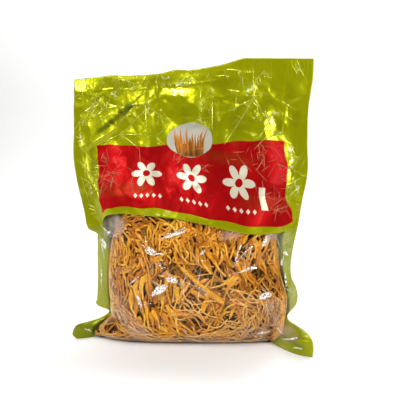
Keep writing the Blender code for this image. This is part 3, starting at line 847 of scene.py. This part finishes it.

# ---- Clubs ------------------------------------------------------------------------------------
# The largest clubs behind the window. Each is one dried fruiting body, smoothed and wrinkled
# from its solid, orange and gold in blotches.

# Dried flesh: satin, orange and gold in blotches 5 mm across, with wrinkles 1 mm apart.
club_flesh, tree, shader = material("dried cordyceps head")
place = add(tree, "TexCoord").outputs["Object"]
blotch = add(tree, "TexNoise", {"Vector": place, "Scale": 210.0, "Detail": 4.0})
flesh = add(tree, "ValToRGB", {0: blotch}, [(0.32, "#cc7414"), (0.68, "#f7b93e")])
wrinkle = add(tree, "TexNoise", {"Vector": place, "Scale": 1100.0, "Detail": 3.0})
bump = add(tree, "Bump", {"Height": wrinkle, "Strength": 0.6, "Distance": 0.5 * MM})
feed(shader, {"Base Color": flesh, "Roughness": 0.45, "Normal": bump})

HOLLOW, HOLLOW_DEPTH = 2.5, 0.7  # where the flesh has shrunk
shrink = bpy.data.textures.new("shrunken flesh", "CLOUDS")
shrink.noise_scale, shrink.noise_depth = HOLLOW * MM, 1
for node in sorted(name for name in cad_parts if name.startswith("club_")):
    grown = bpy.data.objects.new(f"grown_{node}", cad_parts[node].data.copy())
    bpy.context.scene.collection.objects.link(grown)
    grown.data.materials.clear()
    grown.data.materials.append(club_flesh)
    bpy.context.view_layer.objects.active = grown
    grown.select_set(True)
    bpy.ops.object.mode_set(mode="EDIT")
    bpy.ops.mesh.select_all(action="SELECT")
    bpy.ops.mesh.remove_doubles(threshold=0.001 * MM)
    bpy.ops.mesh.tris_convert_to_quads()
    bpy.ops.object.mode_set(mode="OBJECT")
    bpy.ops.object.modifier_add(type="SUBSURF")
    smooth = grown.modifiers[-1]
    smooth.levels = smooth.render_levels = 2
    bpy.ops.object.modifier_apply(modifier=smooth.name)
    bpy.ops.object.modifier_add(type="DISPLACE")
    hollows = grown.modifiers[-1]
    hollows.texture, hollows.strength = shrink, HOLLOW_DEPTH * MM
    bpy.ops.object.modifier_apply(modifier=hollows.name)
    bpy.ops.object.shade_smooth()
    bpy.ops.object.select_all(action="DESELECT")
    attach(grown, "root")
    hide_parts(node)

# ---- Clear window -----------------------------------------------------------------------------
# The lower part of the front film, left unprinted. It is the same glossy laminate, clear, and it
# runs on under the base to the seam. It shows as reflections, a faint milky cast, painted sheen and
# glints.

def glint_patches(tree, place, scale):
    """Painted glints: where marked, soft white patches broken up into thin lines."""
    marked = add(tree, "Attribute", attribute_name="painted_glint").outputs["Fac"]
    grain = {"Vector": place, "Scale": scale, "Detail": 4.0, "Distortion": 2.5}
    crackle = add(tree, "TexNoise", grain)
    crackle = add(tree, "MapRange", {
        "Value": crackle, "From Min": 0.35, "From Max": 0.65, "To Max": 0.55,
    })
    facets = {"Vector": place, "Scale": scale * 1.4}
    lines = add(tree, "TexVoronoi", facets, feature="DISTANCE_TO_EDGE")
    lines = add(tree, "MapRange", {"Value": lines, "From Min": 0.16, "From Max": 0.03})
    both = add(tree, "Math", {0: lines, 1: 0.65, 2: crackle}, operation="MULTIPLY_ADD")
    rough = add(tree, "Math", {0: marked, 1: both}, operation="MULTIPLY")
    return add(tree, "MapRange", {"Value": rough, "From Min": 0.42, "From Max": 0.8})


# Clear laminate: what lies behind it shows, with a mirror-like gloss over it that is faint where
# the film is seen face on and strong where it is seen at a slant and along each crease. The
# weld at the ears is pressed flat and reflects least.
clear_laminate, tree, shader = material("clear laminate")
tree.nodes.remove(shader)
creases = sharp_creases(tree)
ripple = film_ripple(tree, creases)
gloss = add(tree, "BsdfGlossy", {"Color": (1, 1, 1, 1), "Roughness": 0.06, "Normal": ripple})
through = add(tree, "BsdfTransparent", {"Color": (1, 1, 1, 1)})
tilt = add(tree, "LayerWeight", {"Blend": 0.5, "Normal": ripple}).outputs["Facing"]
edge = add(tree, "Math", {0: tilt, 1: 5.0}, operation="POWER")
edge = add(tree, "Math", {0: edge, 1: 0.6, 2: 0.01}, operation="MULTIPLY_ADD")
edge = add(tree, "Math", {0: creases, 1: 0.6, 2: edge}, operation="MULTIPLY_ADD")
welded = add(tree, "Attribute", attribute_name="welded").outputs["Fac"]
welded = add(tree, "Math", {0: welded, 1: -0.9, 2: 1.0}, operation="MULTIPLY_ADD")
edge = add(tree, "Math", {0: edge, 1: welded}, operation="MULTIPLY")
seen = add(tree, "MixShader", {0: edge, 1: through, 2: gloss})

# The milky cast: faint upright streaks, 30 mm long, over the empty margins, and painted sheen in
# clouds 9 mm across where the film stands off the strands. It is green over the margins, from the
# back film.
place = add(tree, "TexCoord").outputs["Object"]
streaks = add(tree, "Mapping", {"Vector": place, "Scale": (140.0, 140.0, 34.0)})
streaks = add(tree, "TexNoise", {"Vector": streaks, "Scale": 1.0, "Detail": 3.0})
streaks = add(tree, "MapRange", {"Value": streaks, "From Min": 0.35, "From Max": 0.7})
margin = add(tree, "Attribute", attribute_name="haze").outputs["Fac"]
haze = add(tree, "Math", {0: margin, 1: streaks}, operation="MULTIPLY")
haze = add(tree, "Math", {0: haze, 1: 0.06}, operation="MULTIPLY")
painted_sheen = add(tree, "Attribute", attribute_name="painted_sheen").outputs["Fac"]
cloud = add(tree, "TexNoise", {
    "Vector": place, "Scale": 110.0, "Detail": 2.0, "Distortion": 0.3,
})
cloud = add(tree, "MapRange", {"Value": cloud, "From Min": 0.25, "From Max": 0.65})
# Painted sheen: the marked patches are added to the milky cast.
haze = add(tree, "Math", {0: painted_sheen, 1: cloud, 2: haze}, operation="MULTIPLY_ADD")
cast = {0: margin, 6: colour("#d2bcac"), 7: colour("#d0d486")}
milk_and_sheen = add(tree, "BsdfDiffuse", {"Color": add(tree, "Mix", cast, data_type="RGBA")})
painted_highlight = add(tree, "BsdfDiffuse", {"Color": colour("#fffef6")})
# The milky cast with its painted sheen, then the painted glints as white diffuse patches.
for share, covering in ((haze, milk_and_sheen), (glint_patches(tree, place, 330.0), painted_highlight)):
    seen = add(tree, "MixShader", {0: share, 1: seen, 2: covering})
feed(tree.nodes["Material Output"], {"Surface": seen})

WINDOW_DENTS = [  # place, half width and height, and depth of the dents that catch the light
    (-6, 107, 7, 1.6, 0.7), (-20, 55, 4, 3.0, 0.9), (-9, 65, 3.5, 2.5, 0.8), (79, 51, 3.5, 2.5, 0.8),
    (-30, 90, 3.5, 2.2, 0.7), (54, 82, 1.8, 5, 0.6), (-66, 28, 3, 5, 0.8), (40, 22, 4, 2.5, 0.7),
    (70, 100, 2.5, 3.5, 0.7), (10, 84, 2.2, 2.2, 0.6), (-50, 64, 2.2, 3, 0.6), (24, 40, 3, 2, 0.7),
    (-94, 92, 3, 6, 0.8), (100, 82, 2.5, 6, 0.8), (101, 62, 2, 4, 0.7), (-86, 74, 2, 5, 0.7),
]
WINDOW_CREASES = crease_lines(33, 22, 6, 116) + [  # ends, half width and strength
    (-16, 104, 4, 110, 0.9, 1.0), (48, 75, 59, 89, 0.6, 1.0), (59, 89, 65, 93, 0.6, 1.0),
    (48, 69, 69, 74, 0.6, 1.0), (82, 105, 79, 95, 0.7, 1.0), (92, 56, 101, 48, 0.6, 0.9),
    (-36, 92, -24, 88, 0.7, 1.0), (-26, 60, -13, 52, 0.8, 1.0), (-13, 68, -4, 62, 0.7, 1.0),
    (74, 54, 83, 48, 0.7, 1.0), (-72, 96, -66, 80, 0.5, 0.8), (-84, 62, -66, 52, 0.5, 0.9),
    (86, 104, 92, 88, 0.5, 0.9), (96, 92, 92, 72, 0.5, 0.8), (-88, 100, -84, 78, 0.6, 0.9),
]
window_rows = np.linspace(0, PRINT_EDGE - HALF_GAP, 136)
window = film_sheet(
    "window_sheet", window_rows, -1, 281, WINDOW_CREASES, WINDOW_DENTS, base=True,
)

# Painted sheen, a pale milky cast, where the film stands off the strands, and painted glints, white
# patches broken into lines: place, half width, half height, turn and strength of each patch.
mark_patches(window, "painted_sheen", [
    (-64, 40, 12, 8, -35, 0.18), (-54, 26, 14, 8, -40, 0.2), (-40, 12, 14, 7, -25, 0.19),
    (-66, 111, 9, 9, -20, 0.5), (-84, 96, 6, 16, 0, 0.22), (-87, 62, 2.0, 30, 3, 0.25),
    (84, 106, 6, 7, 0, 0.6), (97, 90, 7, 20, 0, 0.36), (102, 46, 5, 12, -8, 0.36),
    (84, 30, 8, 14, 0, 0.2), (96, 15, 8, 7, 0, 0.25),
    (66, 14, 18, 7, 10, 0.17), (10, 5, 60, 4, 0, 0.18), (44, 104, 10, 5, 0, 0.2),
])
mark_patches(window, "painted_glint", [
    (-19.7, 53, 8, 3.6, 32, 1.5), (-26, 49, 4, 2, 60, 1.2), (-8.3, 62, 7, 3.6, -10, 1.1),
    (-7, 104, 13, 1.6, 17, 1.5), (-29, 88, 7, 3.8, -20, 1.1), (-22, 86, 9, 1.2, 0, 0.9),
    (77, 48, 7, 3.2, 15, 1.2), (-40.5, 41, 2.2, 7, 20, 1.1), (77, 98, 2.4, 6.5, -25, 1.2),
    (52, 87, 1.0, 12, -20, 1.2), (61, 73, 9, 1.3, 22, 1.2), (75, 12, 8, 1.6, 5, 1.1),
    (-84, 92, 2.2, 6.5, 20, 1.5), (-76, 104, 3, 2, 0, 1.2), (-80, 106, 6, 1.2, -30, 1.1),
    (96, 85, 3.2, 1.8, -30, 1.5), (92, 76, 1.0, 4, 0, 1.2), (-46, 60, 9, 0.9, 38, 1.1),
    (99, 12, 9, 0.9, 25, 1.2), (106, 6, 5, 0.8, 10, 1.2), (90, 16, 6, 0.8, -35, 1.0),
    (-96, 8, 4, 1.0, -30, 1.1), (20, 88, 4, 2, 40, 0.9), (-62, 24, 10, 0.9, -50, 0.9),
    (96, 60, 1.2, 10, 5, 0.9), (-87, 60, 1.0, 14, 0, 0.9),
])
window.data.materials.append(clear_laminate)
window.data.transform(to_origin)
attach(window, "root")
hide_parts("clear_window")

# ---- Printed front ----------------------------------------------------------------------------
# The upper part of the front film, reverse printed: green ground, a red panel with three plain
# rosettes and chains in cream, a small cream bar, and a pale oval with a spray of orange blades.

# The print's places and sizes, in units of 100 mm, as in its own coordinates.
PANEL_MIDDLE, PANEL_HALF = (0.018, 1.552), (0.93, 0.342)
ROSETTE_FIRST, ROSETTE_PITCH, ROSETTE_UP = -0.413, 0.45, 1.565
PETAL_TIP, PETAL_NOTCH, ROSETTE_EYE = 0.15, 0.052, 0.035
ROW_MIDDLE, ROW_HALF = 0.037, 0.66
BEAD_UP, BEAD_PITCH, BEAD_HALF, CHAIN_HALF = 1.335, 0.06, 0.019, 0.151
BAR_MIDDLE, BAR_HALF = (0.705, 1.455), (0.033, 0.098)
OVAL_MIDDLE, OVAL_HALF = (0.037, 1.94), (0.232, 0.172)
SPRAY_FOOT, SPRAY_HALF, SPRAY_SPREAD = 1.775, 0.125, 1.6
BLADE_HALF = 0.44  # of a blade at its foot, as a share of the blades' pitch
BLADES_AHEAD = 20  # how many whole blades the count starts to the left of the oval's middle
BLADES = [  # rows of blades, from the back: pitch, shift along the row, shortest and longest
    (0.023, 0.3, 0.2, 0.31), (0.019, 0.7, 0.16, 0.29), (0.016, 0.1, 0.13, 0.25),
    (0.021, 0.5, 0.05, 0.15),
]

front_laminate, tree, shader = material("printed front laminate")
flat = add(tree, "UVMap", uv_map="print")
axes = add(tree, "SeparateXYZ", {0: flat})
across, up = axes.outputs["X"], axes.outputs["Y"]
place = add(tree, "TexCoord").outputs["Object"]
cloud = add(tree, "TexNoise", {"Vector": place, "Scale": 22.0, "Detail": 2.0})
ground = add(tree, "ValToRGB", {0: cloud}, GREEN_INK)

# The red panel.
red = add(tree, "ValToRGB", {0: cloud}, [(0.35, "#8e0204"), (0.65, "#a80406")])
panel = add(tree, "Math", {0: across, 1: PANEL_MIDDLE[0], 2: PANEL_HALF[0]}, operation="COMPARE")
tall = add(tree, "Math", {0: up, 1: PANEL_MIDDLE[1], 2: PANEL_HALF[1]}, operation="COMPARE")
panel = add(tree, "Math", {0: panel, 1: tall}, operation="MULTIPLY")
printed = add(tree, "Mix", {0: panel, 6: ground, 7: red}, data_type="RGBA")

# Three rosettes of six petals, 45 mm apart, each 15 mm in radius.
slot = add(tree, "Math", {0: across, 1: ROSETTE_FIRST}, operation="SUBTRACT")
half = ROSETTE_PITCH / 2
slot = add(tree, "Math", {0: slot, 1: half, 2: -half}, operation="WRAP")
rise = add(tree, "Math", {0: up, 1: ROSETTE_UP}, operation="SUBTRACT")
spoke = add(tree, "Math", {0: rise, 1: slot}, operation="ARCTAN2")
petal = add(tree, "Math", {0: spoke, 1: 3.0}, operation="MULTIPLY")
petal = add(tree, "Math", {0: petal}, operation="COSINE")
petal = add(tree, "Math", {0: petal}, operation="ABSOLUTE")
rim = {0: petal, 1: PETAL_TIP - PETAL_NOTCH, 2: PETAL_NOTCH}
rim = add(tree, "Math", rim, operation="MULTIPLY_ADD")
radius = add(tree, "CombineXYZ", {0: slot, 1: rise})
radius = add(tree, "VectorMath", {0: radius}, operation="LENGTH")
rosette = add(tree, "Math", {0: radius, 1: rim}, operation="LESS_THAN")
eye = add(tree, "Math", {0: radius, 1: ROSETTE_EYE}, operation="GREATER_THAN")
row = add(tree, "Math", {0: across, 1: ROW_MIDDLE, 2: ROW_HALF}, operation="COMPARE")
for limit in (eye, row):
    rosette = add(tree, "Math", {0: rosette, 1: limit}, operation="MULTIPLY")

# A chain of small lozenges under each rosette, and the plain bar at their right.
half = BEAD_PITCH / 2
bead = add(tree, "Math", {0: slot, 1: half, 2: -half}, operation="WRAP")
bead = add(tree, "Math", {0: bead}, operation="ABSOLUTE")
above = add(tree, "Math", {0: up, 1: BEAD_UP}, operation="SUBTRACT")
above = add(tree, "Math", {0: above}, operation="ABSOLUTE")
bead = add(tree, "Math", {0: above, 1: 0.8, 2: bead}, operation="MULTIPLY_ADD")
chain = add(tree, "Math", {0: bead, 1: BEAD_HALF}, operation="LESS_THAN")
length = add(tree, "Math", {0: slot, 1: 0.0, 2: CHAIN_HALF}, operation="COMPARE")
for limit in (length, row):
    chain = add(tree, "Math", {0: chain, 1: limit}, operation="MULTIPLY")
bar = add(tree, "Math", {0: across, 1: BAR_MIDDLE[0], 2: BAR_HALF[0]}, operation="COMPARE")
tall = add(tree, "Math", {0: up, 1: BAR_MIDDLE[1], 2: BAR_HALF[1]}, operation="COMPARE")
bar = add(tree, "Math", {0: bar, 1: tall}, operation="MULTIPLY")
cream = rosette
for shape in (chain, bar):
    cream = add(tree, "Math", {0: cream, 1: shape}, operation="MAXIMUM")
printed = add(tree, "Mix", {0: cream, 6: printed, 7: colour("#cfc8b0")}, data_type="RGBA")

# The pale oval, and in it the dark foot of the spray, with a ragged upper edge.
oval_x = add(tree, "Math", {0: across, 1: OVAL_MIDDLE[0]}, operation="SUBTRACT")
oval_z = add(tree, "Math", {0: up, 1: OVAL_MIDDLE[1]}, operation="SUBTRACT")
oval = add(tree, "CombineXYZ", {0: oval_x, 1: oval_z})
oval = {0: oval, 1: (1 / OVAL_HALF[0], 1 / OVAL_HALF[1], 0)}
oval = add(tree, "VectorMath", oval, operation="MULTIPLY")
oval = add(tree, "VectorMath", {0: oval}, operation="LENGTH")
oval = add(tree, "Math", {0: oval, 1: 1.0}, operation="LESS_THAN")
root = add(tree, "Math", {0: up, 1: SPRAY_FOOT}, operation="SUBTRACT")
spread = add(tree, "Math", {0: root, 1: SPRAY_SPREAD, 2: 1.0}, operation="MULTIPLY_ADD")
fan = add(tree, "Math", {0: oval_x, 1: spread}, operation="DIVIDE")
within = add(tree, "Math", {0: fan, 1: 0.0, 2: SPRAY_HALF}, operation="COMPARE")
grown = add(tree, "Math", {0: root, 1: 0.0}, operation="GREATER_THAN")
grown = add(tree, "Math", {0: grown, 1: within}, operation="MULTIPLY")
tuft = add(tree, "TexNoise", {"W": fan, "Scale": 60.0, "Detail": 1.0}, noise_dimensions="1D")
tuft = add(tree, "Math", {0: tuft, 1: 0.34, 2: -0.04}, operation="MULTIPLY_ADD")
tuft = add(tree, "Math", {0: root, 1: tuft}, operation="LESS_THAN")
tuft = add(tree, "Math", {0: tuft, 1: grown}, operation="MULTIPLY")
picture = {0: tuft, 6: colour("#aeaa9a"), 7: colour("#7a4414")}
picture = add(tree, "Mix", picture, data_type="RGBA")

# The blades, pointed, each with a height and a tint of its own, and darker at the foot.
shadow = add(tree, "MapRange", {"Value": root, "From Max": 0.12, "To Min": 0.5})
for pitch, shift, shortest, longest in BLADES:
    count = {0: fan, 1: 1 / pitch, 2: shift + BLADES_AHEAD}
    count = add(tree, "Math", count, operation="MULTIPLY_ADD")
    chance = add(tree, "Math", {0: count}, operation="FLOOR")
    chance = add(tree, "TexWhiteNoise", {"W": chance}, noise_dimensions="1D")
    height = {0: chance, 1: longest - shortest, 2: shortest}
    height = add(tree, "Math", height, operation="MULTIPLY_ADD")
    reach = add(tree, "Math", {0: root, 1: height}, operation="DIVIDE")
    reach = add(tree, "Math", {0: reach, 1: 2.0}, operation="POWER")
    slim = {0: reach, 1: -BLADE_HALF, 2: BLADE_HALF}
    slim = add(tree, "Math", slim, operation="MULTIPLY_ADD")
    blade = add(tree, "Math", {0: count}, operation="FRACT")
    blade = add(tree, "Math", {0: blade, 1: 0.5, 2: slim}, operation="COMPARE")
    blade = add(tree, "Math", {0: blade, 1: grown}, operation="MULTIPLY")
    tint = add(tree, "ValToRGB", {0: chance.outputs["Color"]}, [
        (0.25, "#74420e"), (0.75, "#bc7424"),
    ])
    tint = {0: 1.0, 6: tint, 7: shadow}
    tint = add(tree, "Mix", tint, data_type="RGBA", blend_type="MULTIPLY")
    picture = add(tree, "Mix", {0: blade, 6: picture, 7: tint}, data_type="RGBA")
printed = add(tree, "Mix", {0: oval, 6: printed, 7: picture}, data_type="RGBA")

# Painted shade in the deep folds, and painted highlights: pale glint patches, and a pale line
# along each crease.
creases = sharp_creases(tree)
painted_shade = add(tree, "Attribute", attribute_name="painted_shade").outputs["Fac"]
painted_glint = glint_patches(tree, place, 110.0)
painted_glint = add(tree, "Math", {0: painted_glint, 1: 0.5}, operation="MULTIPLY")
painted_highlight = add(tree, "Math", {0: creases, 1: 0.34}, operation="MULTIPLY")
for share, shade in ((painted_shade, "#3c4400"), (painted_glint, "#f4f6c4"), (painted_highlight, "#f2eeb0")):
    printed = add(tree, "Mix", {0: share, 6: printed, 7: colour(shade)}, data_type="RGBA")

# The green ground has the pearl base's sheen. The panel and the oval are more opaque and flat.
opaque = add(tree, "Math", {0: panel, 1: oval}, operation="MAXIMUM")
sheen = add(tree, "MapRange", {"Value": oval, "To Min": 0.45, "To Max": 0.1})
matt = add(tree, "MapRange", {"Value": opaque, "To Min": 0.26, "To Max": 0.42})
coat = add(tree, "MapRange", {"Value": opaque, "To Min": 0.15, "To Max": 0.01})
ripple = film_ripple(tree, creases)
feed(shader, {
    "Base Color": printed, "Metallic": sheen, "Roughness": matt, "Specular IOR Level": 0.08,
    "Coat Weight": coat, "Coat Roughness": 0.05, "Normal": ripple, "Coat Normal": ripple,
})

front_rows = np.linspace(PRINT_EDGE + HALF_GAP, TOP, 174)
front = film_sheet("printed_sheet", front_rows, -1, 281, SHARED_CREASES)
# Painted shade on the printed film: dark olive along the deep fold, and fainter patches of shade.
mark_patches(front, "painted_shade", [  # place, half width, half height, turn and strength
    (-62, 226.5, 13, 4.4, 38, 0.85), (-80, 212.3, 17, 3.4, 38, 0.85), (-98, 232, 10, 2.5, 45, 0.35),
    (12, 216, 22, 15, 0, 0.25), (52, 208, 9, 15, 20, 0.2), (-60, 146, 30, 7, 5, 0.2),
    (40, 176, 30, 6, -10, 0.2), (70, 134, 20, 8, 0, 0.15), (88, 208, 9, 5, -35, 0.22),
    (54, 226, 10, 3, 50, 0.2), (100, 238, 5, 11, 10, 0.2), (76, 189, 12, 3, 10, 0.2),
    (36, 249, 14, 4, 5, 0.16), (-94, 178, 4, 14, 12, 0.2), (82, 232, 10, 4, 60, 0.22),
    (46, 196, 5, 9, 25, 0.2), (106, 214, 4, 9, -10, 0.2), (64, 214, 4, 12, -30, 0.18),
])
# Painted glints on the printed film: pale patches broken into lines.
mark_patches(front, "painted_glint", [  # likewise
    (-7, 250, 13, 2.2, 2, 1.2), (-10, 243, 8, 5, 0, 1.0), (-75, 243, 5, 6, -40, 0.9),
    (-39, 227, 1.6, 9, 0, 1.1), (-32, 221, 9, 1.2, -40, 0.9), (62, 240, 3, 8, -30, 1.0),
    (-104, 224, 4, 4, 20, 0.9), (85, 215, 4, 8, -30, 0.9), (-109, 196, 2.5, 10, 0, 0.9),
    (101, 169, 2.5, 12, 0, 1.0), (106, 150, 2.5, 9, 10, 1.0), (100, 184, 6, 3, 40, 0.9),
    (-24, 124, 2, 4, 0, 1.1), (-22, 258, 8, 2.2, 0, 0.9), (-97, 146, 2.2, 9, 10, 0.9),
])
front.data.materials.append(front_laminate)
front.data.transform(to_origin)
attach(front, "root")
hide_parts("printed_front")
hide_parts("strand_mass")

# ---- Studio -----------------------------------------------------------------------------------
# A pale floor that curves up behind the bag, soft lights, and the camera of the photograph.

# Sizes in this section are in metres.
FLOOR_WIDE, FLOOR_LONG, FLOOR_FRONT = 8.0, 6.0, -2.2
BEND_AT, BEND_LONG, BEND_RADIUS = 1.2, 0.8, 0.51

# Matt paper, a hair under white.
paper, tree, shader = material("pale paper")
feed(shader, {"Base Color": colour("#fcfcfb"), "Roughness": 0.9})
bpy.ops.mesh.primitive_grid_add(x_subdivisions=1, y_subdivisions=60, size=1)
floor = bpy.context.object
floor.name = "floor"
sweep = np.empty(len(floor.data.vertices) * 3)
floor.data.vertices.foreach_get("co", sweep)
sweep = sweep.reshape(-1, 3)
run = (sweep[:, 1] + 0.5) * FLOOR_LONG + FLOOR_FRONT
bent = np.clip((run - BEND_AT) / BEND_LONG, 0, 1) * math.pi / 2
rising = BEND_RADIUS * (1 - np.cos(bent)) + np.clip(run - BEND_AT - BEND_LONG, 0, 9)
sweep[:, 0] *= FLOOR_WIDE
sweep[:, 1] = np.where(run < BEND_AT, run, BEND_AT + BEND_RADIUS * np.sin(bent))
sweep[:, 2] = np.where(run < BEND_AT, 0, rising)
floor.data.vertices.foreach_set("co", sweep.ravel())
floor.data.materials.append(paper)
bpy.ops.object.shade_smooth()
bpy.ops.object.select_all(action="DESELECT")
floor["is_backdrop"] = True

world = bpy.data.worlds.new("studio air")
bpy.context.scene.world = world
world.use_nodes = True
feed(world.node_tree.nodes["Background"], {"Color": colour("#e6e8ea"), "Strength": 0.12})

BAG_MIDDLE = (0, 0, 0.13)
for name, place, size, power, aim in (
    ("key", (-0.55, -0.85, 0.95), (0.25, 0.2), 6.5, BAG_MIDDLE),
    ("side", (0.80, -0.85, 0.55), (0.12, 0.35), 5.7, BAG_MIDDLE),
    ("strip", (-0.95, -0.35, 0.35), (0.08, 0.35), 1.6, BAG_MIDDLE),
    ("top", (0.15, -0.25, 1.25), (0.3, 0.15), 3.2, BAG_MIDDLE),
    ("front", (-0.10, -1.35, 0.78), (0.10, 0.14), 0.8, BAG_MIDDLE),
    ("rear", (0.45, 0.95, 0.75), (0.2, 0.3), 3.6, BAG_MIDDLE),
    ("backdrop", (0, 0.9, 2.2), (3.0, 0.6), 50, (0, 2.2, 0.3)),
):
    bpy.ops.object.light_add(type="AREA", location=place)
    lamp = bpy.context.object
    lamp.name = lamp.data.name = f"{name} light"
    lamp.data.shape = "RECTANGLE"
    lamp.data.size, lamp.data.size_y = size
    lamp.data.energy = power
    lamp.rotation_euler = (Vector(aim) - Vector(place)).to_track_quat("-Z", "Y").to_euler()

# The camera stands to the right of the bag's front, turned a little past it, as in the photo.
CAMERA_AWAY, CAMERA_HIGH = 0.49, 0.140
TURN, PAST, TILT = math.radians(10.0), math.radians(1.55), math.radians(0.48)
LENS, SENSOR = 45.0, 36.0  # in millimetres
bpy.ops.object.camera_add(location=(
    CAMERA_AWAY * math.sin(TURN) - BOX_MIDDLE[0] * MM,
    (SET_BACK - BOX_MIDDLE[1]) * MM - CAMERA_AWAY * math.cos(TURN),
    CAMERA_HIGH,
))
camera = bpy.context.object
camera.data.lens, camera.data.sensor_width = LENS, SENSOR
camera.rotation_euler = (math.pi / 2 - TILT, 0, TURN - PAST)
bpy.context.scene.camera = camera
bpy.context.scene.view_settings.view_transform = "Standard"

bpy.context.view_layer.update()
low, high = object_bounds()
